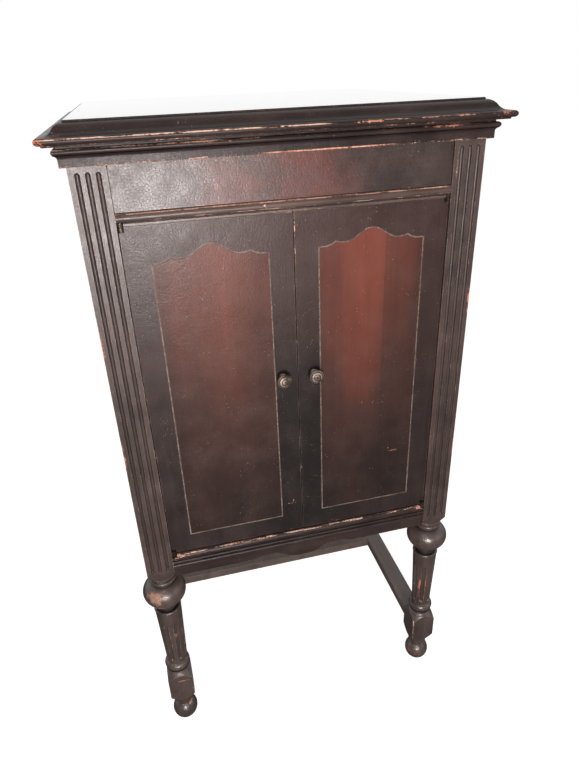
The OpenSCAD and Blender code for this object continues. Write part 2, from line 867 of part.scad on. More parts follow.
// Tone arm: collar, capped bend, taper with a round end and a stub for the gooseneck
module tone_arm() {
    head_r = 24;
    tip_r = 11.5;
    collar_z = arm_z - 23.7;
    color(NICKEL) {
        translate([arm_x, arm_y, 0]) rotate_extrude() polygon([
            [0, collar_z], [29, collar_z], [29, collar_z + 5], [head_r, collar_z + 7],
            [head_r, arm_z + 12], [head_r - 3, arm_z + 18], [head_r - 9, arm_z + 22],
            [0, arm_z + 24]
        ]);
        translate([arm_x, arm_y, arm_z]) rotate([90, 0, 0])
            cylinder(r1 = 20, r2 = tip_r, h = arm_l);
        translate([arm_x, arm_end_y, arm_z]) sphere(r = tip_r + 0.6);
        rod_x([arm_x, arm_end_y, arm_z], 9, 15);
    }
}

// Gooseneck and sound box; it turns about the tone arm's stub
module reproducer() {
    neck_x = arm_x + 25;
    box_r = box_d / 2;
    color(NICKEL) difference() {
        union() {
            rod_x([arm_x + 15.3, arm_end_y, arm_z], 10.5, 5);
            rod_x([arm_x + 18, arm_end_y, arm_z], 8, neck_x - arm_x - 18);
            translate([neck_x, arm_end_y, arm_z]) sphere(r = 8);
            rod_y([neck_x, box_y, arm_z], 8, arm_end_y - box_y);
            translate([neck_x, box_y, arm_z]) sphere(r = 8);
            rod_x([arm_x + 9, box_y, arm_z], 8, neck_x - arm_x - 9);
            rod_x([arm_x - 9, box_y, box_z], box_r, 18);
        }
        rod_x([arm_x - 10, box_y, box_z], box_r - 4, 7.2);
        rod_x([arm_x - 10, box_y, box_z], box_r - 7, 9);
    }
}

module diaphragm() {
    color("#d8d4c8") rod_x([arm_x - 3.4, box_y, box_z], box_d / 2 - 4.3, 0.6);
}

// Stylus bar from the diaphragm's middle down to the needle
module needle_arm() {
    foot_z = box_z - box_d / 2 - 1;
    tip_z = record_z + 0.2;
    x = arm_x - 12.6;
    color(STEEL) {
        rod_x([x, box_y, box_z], 2, 9.1);
        span([x - 1.2, box_y - 1.5, foot_z - 4], [x + 1.2, box_y + 1.5, box_z + 2]);
        translate([x, box_y, foot_z - 6]) cylinder(r = 3, h = 7);
        translate([x, box_y, tip_z + 3]) cylinder(r = 0.8, h = foot_z - 5 - tip_z - 3);
        translate([x, box_y, tip_z]) cylinder(r1 = 0.25, r2 = 0.8, h = 3);
        rod_y([x, box_y - 9, foot_z - 3], 1.2, 8);
        rod_y([x, box_y - 11, foot_z - 3], 3, 3);
    }
}

dial_x = -x_out + 80;
dial_y = y_front + 85;

module speed_dial() {
    color(NICKEL) translate([dial_x, dial_y, deck_z]) {
        cylinder(r = 20, h = 1.5);
        for (a = [30 : 20 : 150]) rotate([0, 0, a]) translate([14, -0.4, 1]) cube([4, 0.8, 0.9]);
    }
}

module speed_lever() {
    color(NICKEL) translate([dial_x, dial_y, deck_z + 1.8]) {
        cylinder(r = 7, h = 7);
        translate([-1.2, 0, 2]) cube([2.4, 13, 3]);
    }
}

// Brake: the pad stands just clear of the turntable's rim
brake_a = -40;
brake_r = turntable_d / 2 + 22;
brake_x = spin_x + brake_r * cos(brake_a);
brake_y = spin_y + brake_r * sin(brake_a);

module brake_lever() {
    color(NICKEL) translate([brake_x, brake_y, deck_z + 0.3]) rotate([0, 0, brake_a]) {
        cylinder(r = 7, h = 14);
        translate([-3, -34, 6]) cube([6, 34, 5]);
        translate([0, -34, 6]) cylinder(r = 5, h = 7);
        translate([-21, -4, 9]) cube([21, 8, 4]);
        translate([-21.4, -5, 7]) cube([6, 10, 10]);
    }
}

module needle_cups() {
    cup_r = 22;
    color(NICKEL) for (i = [0, 1])
        translate([x_out - 60 - i * 54, y_front + 78, deck_z]) difference() {
            cylinder(r = cup_r, h = 14);
            translate([0, 0, 3]) cylinder(r = cup_r - 3, h = 12);
        }
}

module turntable() {
    color(NICKEL) translate([spin_x, spin_y, 0]) {
        difference() {
            translate([0, 0, platter_z - 20]) cylinder(r = turntable_d / 2, h = 20, $fn = 128);
            translate([0, 0, platter_z - 21]) cylinder(r = turntable_d / 2 - 4, h = 18, $fn = 128);
            translate([0, 0, platter_z - 4]) cylinder(r = 5.05, h = 5);
        }
        difference() {
            translate([0, 0, platter_z - 22]) cylinder(r = 16, h = 20);
            translate([0, 0, platter_z - 23]) cylinder(r = 5.05, h = 22);
        }
    }
}

module turntable_felt() {
    color("#3f5a3c") translate([spin_x, spin_y, platter_z]) difference() {
        cylinder(r = turntable_d / 2 - 4, h = felt_t, $fn = 128);
        translate([0, 0, -1]) cylinder(r = 6, h = felt_t + 2);
    }
}

// Involute gear outlines
function involute(a) = tan(a) * 180 / PI - a;

function half_tooth(teeth, r, lash) =
    let (
        rp = gear_m * teeth / 2,
        rb = rp * cos(20),
        at_pitch = 90 / teeth - lash / (2 * rp) * 180 / PI,
        angle = r <= rb ? 0 : acos(rb / r)
    )
    at_pitch + involute(20) - involute(angle);

function gear_points(teeth, lash) =
    let (
        rp = gear_m * teeth / 2,
        radii = [rp - 1.2 * gear_m, rp, rp + 0.9 * gear_m]
    )
    [
        for (i = [0 : teeth - 1]) each concat(
            [for (k = [0 : 2]) radii[k] * dir(i * 360 / teeth - half_tooth(teeth, radii[k], lash))],
            [for (k = [2 : -1 : 0]) radii[k] * dir(i * 360 / teeth + half_tooth(teeth, radii[k], lash))]
        )
    ];

function dir(a) = [cos(a), sin(a)];

// Spur gear with one tooth towards the angle turn
module gear(teeth, h, turn) {
    rotate([0, 0, turn]) linear_extrude(h) polygon(gear_points(teeth, 0.25));
}

train_a = atan2(mid_dy, mid_dx);
train_b = atan2(spin_y - mid_y, barrel_x - mid_x);
gear_z = drum_z + barrel_h + 2;
wheel_z = gear_z + 8;
top_bore = shaft_r + run_fit;
frame_x0 = spin_x - 88;
frame_x1 = barrel_x + 46;
frame_y0 = spin_y - 60;
frame_y1 = spin_y + 62;

// Spindle with its drive pinion, the worm wheel and the pin for the record hole
module spindle() {
    color(STEEL) translate([spin_x, spin_y, 0]) {
        translate([0, 0, motor_bot + 0.5]) cylinder(r = shaft_r, h = wheel_z - motor_bot);
        translate([0, 0, wheel_z - 2]) gear(pinion_teeth, 8, train_a);
        translate([0, 0, wheel_z + 5]) cylinder(r = shaft_r, h = motor_top - wheel_z - 4);
        translate([0, 0, motor_top + plate_t + 0.4]) cylinder(r = 5, h = platter_z - motor_top - plate_t - 0.4);
        translate([0, 0, motor_top - 1]) cylinder(r = shaft_r, h = plate_t + 2);
        translate([0, 0, platter_z - 0.1]) cylinder(r = spindle_pin_d / 2, h = 14);
        translate([0, 0, platter_z + 13.8]) sphere(r = spindle_pin_d / 2);
        translate([0, 0, gov_z - 4]) cylinder(r = 8, h = 8);
        translate([0, 0, gov_z - 3]) linear_extrude(6)
            polygon([for (i = [0 : 99]) (fiber_r - (i % 2) * 1.6) * dir(i * 3.6)]);
    }
}

// Governor: worm core, three weights on leaf springs and the friction disc
module governor() {
    gov_l = 104;
    x0 = spin_x - 84;
    weight_x = spin_x - 52;
    disc_r = 21;
    color(BRASS) {
        rod_x([x0, gov_y, gov_z], 2.5, gov_l);
        rod_x([spin_x - 8, gov_y, gov_z], 3.6, 16);
        rod_x([x0 + 10, gov_y, gov_z], disc_r, 3);
        rod_x([x0 + 10, gov_y, gov_z], 5, 6);
        rod_x([spin_x - 34, gov_y, gov_z], 5, 5);
        for (a = [0, 120, 240]) translate([0, gov_y, gov_z]) rotate([a, 0, 0]) {
            translate([weight_x, 0, 9]) rotate([0, 90, 0]) cylinder(r = 4.5, h = 8);
            translate([x0 + 14, -2, 3.6]) cube([spin_x - 30 - x0 - 14, 4, 0.8]);
            translate([weight_x + 2, -2, 3.6]) cube([4, 4, 5]);
        }
    }
}

module intermediate_gear() {
    color(STEEL) translate([mid_x, mid_y, 0]) {
        translate([0, 0, motor_bot + 0.5]) cylinder(r = shaft_r, h = motor_top + plate_t - motor_bot - 1);
        translate([0, 0, gear_z - 1]) gear(pinion_teeth, 7, train_b);
        translate([0, 0, wheel_z]) gear(wheel_teeth, 4, train_a + 180 + 180 / wheel_teeth);
    }
}

module spring_barrel() {
    color(STEEL) translate([barrel_x, spin_y, 0]) difference() {
        union() {
            translate([0, 0, drum_z]) cylinder(r = barrel_d / 2, h = barrel_h);
            translate([0, 0, drum_z + barrel_h - 1]) cylinder(r = 12, h = 4);
            translate([0, 0, gear_z]) gear(barrel_teeth, 4, train_b + 180 + 180 / barrel_teeth);
        }
        translate([0, 0, drum_z - 1]) cylinder(r = 5 + run_fit, h = 2 * barrel_h);
    }
}

// Winding wheel on the barrel's arbor; its teeth stand up to meet the crank's pinion
crown_teeth = 40;
crown_r = gear_m * crown_teeth / 2;

module winding_gear() {
    pitch_z = crank_z - pinion_r;
    base_z = pitch_z - 1.9;
    color(STEEL) translate([barrel_x, spin_y, 0]) {
        translate([0, 0, motor_bot + 0.5]) cylinder(r = shaft_r, h = motor_top + plate_t - motor_bot - 1);
        translate([0, 0, base_z]) cylinder(r = 5, h = motor_top - base_z - 0.5);
        translate([0, 0, base_z - 2]) cylinder(r = crown_r + 4, h = 2);
        for (i = [0 : crown_teeth - 1]) rotate([0, 0, i * 360 / crown_teeth])
            translate([crown_r - 3.4, 0, base_z]) rotate([90, 0, 90])
                linear_extrude(6.8) polygon([[-1.3, -0.1], [1.3, -0.1], [0.35, 3], [-0.35, 3]]);
    }
}

// Motor frame: two plates, four pillars up to the motor board, two governor bearings
module motor_frame() {
    bores = [[spin_x, spin_y], [mid_x, mid_y], [barrel_x, spin_y]];
    color(STEEL) difference() {
        union() {
            span([frame_x0, frame_y0, motor_top], [frame_x1, frame_y1, motor_top + plate_t]);
            span([frame_x0, frame_y0, motor_bot], [frame_x1, frame_y1, motor_bot + plate_t]);
            for (x = [frame_x0 + 8, frame_x1 - 8], y = [frame_y0 + 8, frame_y1 - 8])
                translate([x, y, motor_bot]) cylinder(r = 5, h = deck_under - motor_bot);
            for (x = [spin_x - 82, spin_x + 12])
                span([x, gov_y - 5, motor_bot + 1], [x + 6, gov_y + 5, gov_z + 7]);
        }
        for (b = bores) translate([b[0], b[1], motor_bot - 1])
            cylinder(r = top_bore, h = motor_top - motor_bot + plate_t + 2);
        rod_x([spin_x - 84, gov_y, gov_z], 2.5 + run_fit, 104);
    }
}

crank_r = 4.5;
arm_out = x_out + 8;

module crank_escutcheon() {
    color(NICKEL) difference() {
        union() {
            rod_x([panel_x + panel_t, spin_y, crank_z], 18, 2.5);
            rod_x([panel_x + panel_t, spin_y, crank_z], 9, 7);
            rod_x([panel_x - 2, spin_y, crank_z], 6.8, panel_t + 3);
        }
        rod_x([panel_x - 4, spin_y, crank_z], crank_r + run_fit, panel_t + 20);
    }
}

// Crank: shaft with its pinion, the arm hanging down and the pin for the grip
module crank() {
    color(NICKEL) {
        rod_x([barrel_x + crown_r - 8, spin_y, crank_z], crank_r, arm_out - barrel_x - crown_r + 10);
        translate([barrel_x + crown_r - 3, spin_y, crank_z]) rotate([90, 0, 90])
            gear(pinion_teeth, 6, -90 + 180 / pinion_teeth);
        rod_x([arm_out, spin_y, crank_z], 8, 6);
        rod_x([arm_out, spin_y, crank_z - crank_l], 6.5, 6);
        span([arm_out, spin_y - 5.5, crank_z - crank_l], [arm_out + 6, spin_y + 5.5, crank_z]);
        rod_x([arm_out, spin_y, crank_z - crank_l], 3, grip_l + 10);
        rod_x([arm_out + grip_l + 7.4, spin_y, crank_z - crank_l], 5, 2.6);
    }
}

module crank_grip() {
    r = grip_d / 2;
    color(WOOD_RED) translate([arm_out + 6.6, spin_y, crank_z - crank_l]) rotate([0, 90, 0])
        difference() {
            rotate_extrude() polygon([
                [0, 0], [r * 0.6, 0], [r * 0.68, grip_l * 0.05], [r * 0.58, grip_l * 0.1],
                [r * 0.62, grip_l * 0.18], [r * 0.84, grip_l * 0.38], [r, grip_l * 0.62],
                [r * 0.98, grip_l * 0.8], [r * 0.8, grip_l * 0.94], [r * 0.5, grip_l], [0, grip_l]
            ]);
            translate([0, 0, -1]) cylinder(r = 3 + run_fit, h = grip_l + 2);
        }
}

// Lid hinges: two outer knuckles on the case, one between them on the lid
leaf_w = 50;
knuckle_l = 16;
leaf_t = 1.6;

module knuckle(x, l) {
    rod_x([x, lid_axis_y, lid_z0], hinge_r, l);
}

module lid_hinge_brackets() {
    color(BRASS) for (s = [-1, 1]) translate([s * hinge_x - leaf_w / 2, 0, 0]) {
        span([0, y_back, post_z1 + 2], [leaf_w, y_back + leaf_t, lid_z0 - hinge_r - 1]);
        for (x = [0, leaf_w - knuckle_l]) {
            span([x, y_back, post_z1 + 2], [x + knuckle_l, y_back + leaf_t, lid_z0 - 1]);
            knuckle(x, knuckle_l);
        }
        rod_x([0, lid_axis_y, lid_z0], 1.6, leaf_w);
    }
}

module lid_hinge_leaves() {
    gap = 0.4;
    x0 = knuckle_l + gap;
    x1 = leaf_w - knuckle_l - gap;
    color(BRASS) for (s = [-1, 1]) translate([s * hinge_x - leaf_w / 2, 0, 0]) difference() {
        union() {
            span([0, y_back, lid_z0 + hinge_r + 1], [leaf_w, y_back + leaf_t, lid_z1 - 3]);
            span([x0, y_back, lid_z0 + 1], [x1, y_back + leaf_t, lid_z1 - 3]);
            knuckle(x0, x1 - x0);
        }
        rod_x([0, lid_axis_y, lid_z0], 1.6 + run_fit, leaf_w);
    }
}

// Quadrant: an arc about the lid's axis that slides through a guide on the cornice
quad_r = 125;
quad_x = -open_x + 0.4;
quad_end = lid_open + 9;

module wedge(a0, a1) {
    polygon([[0, 0], 200 * dir(a0), 200 * dir((a0 + a1) / 2), 200 * dir(a1)]);
}

module lid_quadrant() {
    foot_y = lid_axis_y - quad_r;
    color(BRASS) {
        translate([quad_x, lid_axis_y, lid_z0]) rotate([90, 0, 90]) linear_extrude(3)
            intersection() {
                difference() {
                    circle(r = quad_r + 4, $fn = 128);
                    circle(r = quad_r - 4, $fn = 128);
                }
                wedge(180, 180 + quad_end);
            }
        span([quad_x, foot_y - 14, lid_z0 - 2], [quad_x + 12, foot_y + 14, lid_z0]);
        translate([quad_x, lid_axis_y, lid_z0]) rotate([90, 0, 90])
            translate(quad_r * dir(180 + quad_end)) cylinder(r = 5.5, h = 3);
    }
}

module quadrant_guide() {
    y = lid_axis_y - quad_r;
    z = lid_z0 - 5;
    color(BRASS) difference() {
        span([-x_out + cornice_in, y - 9, z - 8], [quad_x + 6, y + 9, z]);
        translate([quad_x - 0.4, lid_axis_y, lid_z0]) rotate([90, 0, 90]) linear_extrude(3.8)
            difference() {
                circle(r = quad_r + 4.5, $fn = 128);
                circle(r = quad_r - 4.5, $fn = 128);
            }
    }
}

front_left_post();
front_right_post();
rear_left_post();
rear_right_post();
left_side_panel();
right_side_panel();
back_panel();
frieze_panel();
upper_rail();
base_rail();
front_apron();
case_cornice();
motor_board();
cabinet_floor();
record_shelf();
record_dividers();
front_left_leg();
front_right_leg();
rear_left_leg();
rear_right_leg();
left_stretcher();
right_stretcher();
cross_stretcher();
door_pivot_brackets();
door_catches();
grille();
grille_cloth();
horn();
tone_arm_base();
arm_rest();
speed_dial();
motor_frame();
crank_escutcheon();
needle_cups();
lid_hinge_brackets();
quadrant_guide();
lid();
lid_hinge_leaves();
lid_quadrant();
left_door();
left_door_pivots();
left_knob();
right_door();
right_door_pivots();
right_knob();
turntable();
turntable_felt();
spindle();
governor();
intermediate_gear();
spring_barrel();
winding_gear();
crank();
crank_grip();
tone_arm();
reproducer();
diaphragm();
needle_arm();
speed_lever();
brake_lever();
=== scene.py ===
"""Cabinet phonograph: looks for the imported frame.

Every CAD piece gets its finish here. Wooden pieces whose sharp edges would show are
replaced by softened copies, and small fixings that the frame leaves out are added.
All places are in metres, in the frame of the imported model.
"""

import json
import logging
import math
from dataclasses import dataclass, field
from enum import Enum

import bmesh
import bpy
from mathutils import Matrix, Vector

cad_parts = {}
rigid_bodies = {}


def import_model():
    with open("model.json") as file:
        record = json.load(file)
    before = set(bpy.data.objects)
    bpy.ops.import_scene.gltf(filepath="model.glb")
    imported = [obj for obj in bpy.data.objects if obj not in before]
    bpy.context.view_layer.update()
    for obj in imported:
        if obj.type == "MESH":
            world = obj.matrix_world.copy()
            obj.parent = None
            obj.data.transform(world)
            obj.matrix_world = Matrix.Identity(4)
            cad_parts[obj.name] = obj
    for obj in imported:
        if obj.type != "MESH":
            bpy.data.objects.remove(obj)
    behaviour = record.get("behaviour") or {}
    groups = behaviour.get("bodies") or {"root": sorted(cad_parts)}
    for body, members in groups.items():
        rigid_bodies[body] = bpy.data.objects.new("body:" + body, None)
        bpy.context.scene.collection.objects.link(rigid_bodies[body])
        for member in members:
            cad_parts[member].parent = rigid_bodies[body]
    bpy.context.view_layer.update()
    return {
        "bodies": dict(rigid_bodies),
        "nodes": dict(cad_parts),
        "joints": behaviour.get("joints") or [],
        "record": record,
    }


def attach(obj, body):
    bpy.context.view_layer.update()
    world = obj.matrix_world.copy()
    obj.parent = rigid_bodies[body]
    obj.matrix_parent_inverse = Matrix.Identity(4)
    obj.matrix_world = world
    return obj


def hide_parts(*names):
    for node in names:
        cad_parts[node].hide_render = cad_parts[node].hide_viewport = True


log = logging.getLogger("phonograph")

Colour = tuple[float, float, float]
Triple = tuple[float, float, float]

# Front of the posts, and of the doors and the frieze between them
FRONT_Y = -0.297
FACE_Y = -0.294
# Top of the corner posts, where the cornice begins
POST_TOP = 1.156
# Top of the motor board
DECK_Z = 1.040
# Underside and flat top of the lid
LID_Z0 = 1.1824
LID_TOP = 1.2114
# Top of the rail above the doors, and of the sill below them
RAIL_TOP = 1.092
SILL_TOP = 0.478
# Back of the posts, and of the back panel
BACK_Y = 0.297
BACK_FACE_Y = 0.293
# Lid hinge leaves: thickness, distance from the middle, and screws beside their middle
LEAF_T = 0.0016
HINGE_X = 0.190
LEAF_STEPS = (-0.018, 0.0, 0.018)
# Front of the grille board
GRILLE_Y = -0.273
# Crank plate: its outer face and its middle
CRANK_PLATE_X = 0.2945
CRANK_Y = -0.025
CRANK_Z = 0.936
# Pivot of the tone arm
ARM_X = 0.165
ARM_Y = 0.170
# Distance of each door's inlaid panel from the middle of the front
FIELD_X = 0.1246
# Points of a mesh that lie closer than this become one
WELD = 0.00002
# Faces that meet at less than this are one flat face
FLAT_ANGLE = math.radians(0.4)
# Edges sharper than this are softened
EDGE_ANGLE = math.radians(32)

# Scale and shift of a pattern that has neither
ONCE: Triple = (1.0, 1.0, 1.0)
UNMOVED: Triple = (0.0, 0.0, 0.0)


class Grain(Enum):
    """Axis that the wood's grain runs along."""

    X = "x"
    Y = "y"
    Z = "z"
    ROUND = "round"


def srgb(red: float, green: float, blue: float) -> Colour:
    """Turns a colour read from a screen, 0 to 255, into scene values.

    Args:
        red: Red as shown on a screen.
        green: Green as shown on a screen.
        blue: Blue as shown on a screen.

    Returns:
        The colour in linear light.
    """

    def channel(value: float) -> float:
        """One channel in linear light."""
        share = value / 255.0
        return share / 12.92 if share <= 0.04045 else ((share + 0.055) / 1.055) ** 2.4

    return (channel(red), channel(green), channel(blue))


# Colours that all varnished wood shares
DUST = srgb(112, 96, 90)
# Painted highlight along edges
PAINTED_EDGE_HIGHLIGHT = srgb(142, 124, 116)
# Painted shade in grooves and corners, with grime
GRIME_AND_SHADE = srgb(22, 17, 16)
SCRATCH = srgb(150, 110, 92)
PALE_FLECK = srgb(212, 204, 196)


def stretched(grain: Grain, across: float, length: float) -> Triple:
    """Scale of a pattern that runs along the grain.

    Args:
        grain: The grain.
        across: Scale across it.
        length: Scale along it.

    Returns:
        The scale along each axis.
    """
    if grain is Grain.X:
        return (length, across, across)
    if grain is Grain.Y:
        return (across, length, across)
    return (across, across, length)


class Value:
    """A number socket in a material, with arithmetic that adds Math nodes."""

    def __init__(self, sheet: "MaterialSheet", socket: bpy.types.NodeSocket) -> None:
        """Keeps the socket and the sheet that it belongs to."""
        self.sheet = sheet
        self.socket = socket

    def _math(self, operation: str, first: "Value | float", second: "Value | float | None" = None) -> "Value":
        """Adds one Math node.

        Args:
            operation: The Math node's operation.
            first: Its first value.
            second: Its second value, if it has one.

        Returns:
            The node's result.
        """
        values = {0: first} if second is None else {0: first, 1: second}
        return self.sheet.value("ShaderNodeMath", {"operation": operation}, values)

    def __add__(self, other: "Value | float") -> "Value":
        """Sum."""
        return self._math("ADD", self, other)

    __radd__ = __add__

    def __mul__(self, other: "Value | float") -> "Value":
        """Product."""
        return self._math("MULTIPLY", self, other)

    __rmul__ = __mul__

    def __sub__(self, other: "Value | float") -> "Value":
        """Difference."""
        return self._math("SUBTRACT", self, other)

    def __rsub__(self, other: "Value | float") -> "Value":
        """Difference the other way round."""
        return self._math("SUBTRACT", other, self)

    def __pow__(self, other: "Value | float") -> "Value":
        """Power."""
        return self._math("POWER", self, other)

    def absolute(self) -> "Value":
        """Size without sign."""
        return self._math("ABSOLUTE", self)

    def sine(self) -> "Value":
        """Sine."""
        return self._math("SINE", self)

    def most(self, other: "Value | float") -> "Value":
        """The larger of two."""
        return self._math("MAXIMUM", self, other)

    def over(self, limit: "Value | float") -> "Value":
        """1 where the value is above the limit."""
        return self._math("GREATER_THAN", self, limit)

    def fade(self, low: float, high: float) -> "Value":
        """Smooth step.

        Args:
            low: Where the result is 0.
            high: Where the result is 1; it may be below low.

        Returns:
            The result, between 0 and 1.
        """
        if high < low:
            return 1.0 - self.fade(high, low)
        ends = {"Value": self, "From Min": low, "From Max": high}
        return self.sheet.value("ShaderNodeMapRange", {"interpolation_type": "SMOOTHSTEP"}, ends)


# What an input can be given
Input = Value | bpy.types.NodeSocket | float | tuple


def fill_ramp(ramp: bpy.types.ColorRamp, stops: list[tuple[float, Colour]]) -> None:
    """Fills a ramp.

    Args:
        ramp: The ramp.
        stops: Places and colours from left to right.
    """
    while len(ramp.elements) < len(stops):
        ramp.elements.new(1.0)
    for element, (place, colour) in zip(ramp.elements, stops):
        element.position = place
        element.color = (*colour, 1.0)


def feed(tree: bpy.types.NodeTree, socket: bpy.types.NodeSocket, given: Input) -> None:
    """Links or sets an input.

    Args:
        tree: The tree that the input is in.
        socket: The input.
        given: A value, a socket, a number, a colour or a vector.
    """
    if isinstance(given, Value):
        given = given.socket
    if isinstance(given, bpy.types.NodeSocket):
        tree.links.new(given, socket)
    elif isinstance(given, tuple) and len(given) == 3 and socket.type == "RGBA":
        socket.default_value = (*given, 1.0)
    else:
        socket.default_value = given


def add_node(
    tree: bpy.types.NodeTree, kind: str, settings: dict | None = None, values: dict | None = None
) -> bpy.types.Node:
    """Adds a node to a tree.

    Args:
        tree: The tree.
        kind: The node's type.
        settings: Its settings, set first; "stops" are a ramp's places and colours.
        values: What its inputs hold, by name or number: links or plain values.

    Returns:
        The node.
    """
    made = tree.nodes.new(kind)
    for name, setting in (settings or {}).items():
        if name == "stops":
            fill_ramp(made.color_ramp, setting)
        else:
            setattr(made, name, setting)
    for name, given in (values or {}).items():
        feed(tree, made.inputs[name], given)
    return made


class MaterialSheet:
    """The node sheet of one material."""

    def __init__(self, name: str) -> None:
        """Starts an empty material with a Principled shader.

        Args:
            name: The material's name.
        """
        self.material = bpy.data.materials.new(name)
        self.material.use_nodes = True
        self.tree = self.material.node_tree
        self.tree.nodes.clear()
        self.shader = self.node("ShaderNodeBsdfPrincipled")
        self.node("ShaderNodeOutputMaterial", {}, {"Surface": self.shader.outputs[0]})

    def node(self, kind: str, settings: dict | None = None, values: dict | None = None) -> bpy.types.Node:
        """Adds a node to this sheet.

        Args:
            kind: The node's type.
            settings: Its settings.
            values: What its inputs hold.

        Returns:
            The node.
        """
        return add_node(self.tree, kind, settings, values)

    def value(
        self, kind: str, settings: dict | None = None, values: dict | None = None, output: int | str = 0
    ) -> Value:
        """Adds a node and wraps one of its outputs.

        Args:
            kind: The node's type.
            settings: Its settings.
            values: Its inputs.
            output: Which output.

        Returns:
            The output, with arithmetic.
        """
        return Value(self, self.node(kind, settings, values).outputs[output])

    def place(self, scale: Triple = ONCE, shift: Triple = UNMOVED) -> Value:
        """The place on the piece, in metres times a scale.

        Args:
            scale: Factor along each axis.
            shift: Shift after scaling.

        Returns:
            A vector.
        """
        where = self.node("ShaderNodeTexCoord").outputs["Object"]
        return self.value("ShaderNodeMapping", {}, {"Vector": where, "Location": shift, "Scale": scale})

    def axes(self) -> tuple[Value, Value, Value]:
        """The place on the piece, in metres, one axis at a time.

        Returns:
            Its x, y and z.
        """
        where = self.node("ShaderNodeTexCoord").outputs["Object"]
        split = self.node("ShaderNodeSeparateXYZ", {}, {0: where})
        return tuple(Value(self, out) for out in split.outputs)

    def noise(
        self, where: Value, size: float = 1.0, detail: float = 4.0, rough: float = 0.55, twist: float = 0.0
    ) -> Value:
        """Soft noise, about 0.3 to 0.7.

        Args:
            where: The vector it reads.
            size: The noise's scale.
            detail: Octaves.
            rough: Strength of the finer octaves.
            twist: Distortion.

        Returns:
            The noise.
        """
        values = {"Vector": where, "Scale": size, "Detail": detail, "Roughness": rough, "Distortion": twist}
        return self.value("ShaderNodeTexNoise", {}, values)

    def cells(self, where: Value, size: float, feature: str = "F1") -> Value:
        """Distance in a cell pattern.

        Args:
            where: The vector it reads.
            size: Cells to a unit.
            feature: What is measured in the pattern.

        Returns:
            The distance.
        """
        return self.value("ShaderNodeTexVoronoi", {"feature": feature}, {"Vector": where, "Scale": size})

    def blend(self, share: Value | float, first: Input, second: Input) -> bpy.types.NodeSocket:
        """Mixes two colours.

        Args:
            share: How much of the second.
            first: First colour.
            second: Second colour.

        Returns:
            The mixed colour.
        """
        return self.node("ShaderNodeMix", {"data_type": "RGBA"}, {0: share, 6: first, 7: second}).outputs[2]

    def ramp(self, share: Value, stops: list[tuple[float, Colour]]) -> bpy.types.NodeSocket:
        """Colour along a ramp.

        Args:
            share: Where on the ramp.
            stops: Its places and colours.

        Returns:
            The colour.
        """
        return self.node("ShaderNodeValToRGB", {"stops": stops}, {0: share}).outputs[0]

    def edges(self, radius: float) -> Value:
        """How strongly the shape turns within a radius: 0 on flats, towards 1 at sharp edges.

        Args:
            radius: The radius in metres.

        Returns:
            The mask.
        """
        turned = self.node("ShaderNodeBevel", {"samples": 6}, {"Radius": radius}).outputs[0]
        true = self.node("ShaderNodeNewGeometry").outputs["Normal"]
        dot = self.value("ShaderNodeVectorMath", {"operation": "DOT_PRODUCT"}, {0: turned, 1: true}, "Value")
        return 1.0 - dot

    def openness(self, reach: float) -> Value:
        """1 in the open, less in grooves and corners of the same piece.

        Args:
            reach: How far the corners reach, in metres.

        Returns:
            The mask.
        """
        return self.value(
            "ShaderNodeAmbientOcclusion", {"samples": 6, "only_local": True}, {"Distance": reach}, "AO"
        )

    def bump(self, *layers: tuple[Value, float]) -> None:
        """Raises the surface by layers of height.

        Args:
            layers: A height from 0 to 1 and its depth in metres, each.
        """
        normal = None
        for height, depth in layers:
            values = {"Height": height, "Distance": depth, "Strength": 1.0}
            if normal is not None:
                values["Normal"] = normal
            normal = self.node("ShaderNodeBump", {}, values).outputs[0]
        feed(self.tree, self.shader.inputs["Normal"], normal)

    def surface(self, colour: Input, roughness: Input, **plain: Input) -> None:
        """Feeds the shader.

        Args:
            colour: Base colour.
            roughness: Roughness.
            plain: Other inputs, with blanks as underscores.
        """
        inputs = self.shader.inputs
        feed(self.tree, inputs["Base Color"], colour)
        feed(self.tree, inputs["Roughness"], roughness)
        for name, given in plain.items():
            feed(self.tree, inputs[name.replace("_", " ").title().replace("Ior", "IOR")], given)


@dataclass(frozen=True)
class WornSpot:
    """A stretched ball inside which the varnish has come off.

    Attributes:
        middle: Where it lies.
        reach: Its half size along each axis.
        pale: How much of the bare wood in it is pale.
        amount: How strongly it is worn.
    """

    middle: Triple
    reach: Triple
    pale: float = 0.0
    amount: float = 1.0


@dataclass(frozen=True)
class RubbedLine:
    """A level line along a moulding where it has been rubbed.

    Attributes:
        height: Its height above the floor.
        width: Half its width.
        start: Its left end.
        end: Its right end.
        pale: How much of the bare wood in it is pale.
        amount: How little it is broken up.
    """

    height: float
    width: float = 0.0014
    start: float = -0.4
    end: float = 0.4
    pale: float = 0.8
    amount: float = 1.0


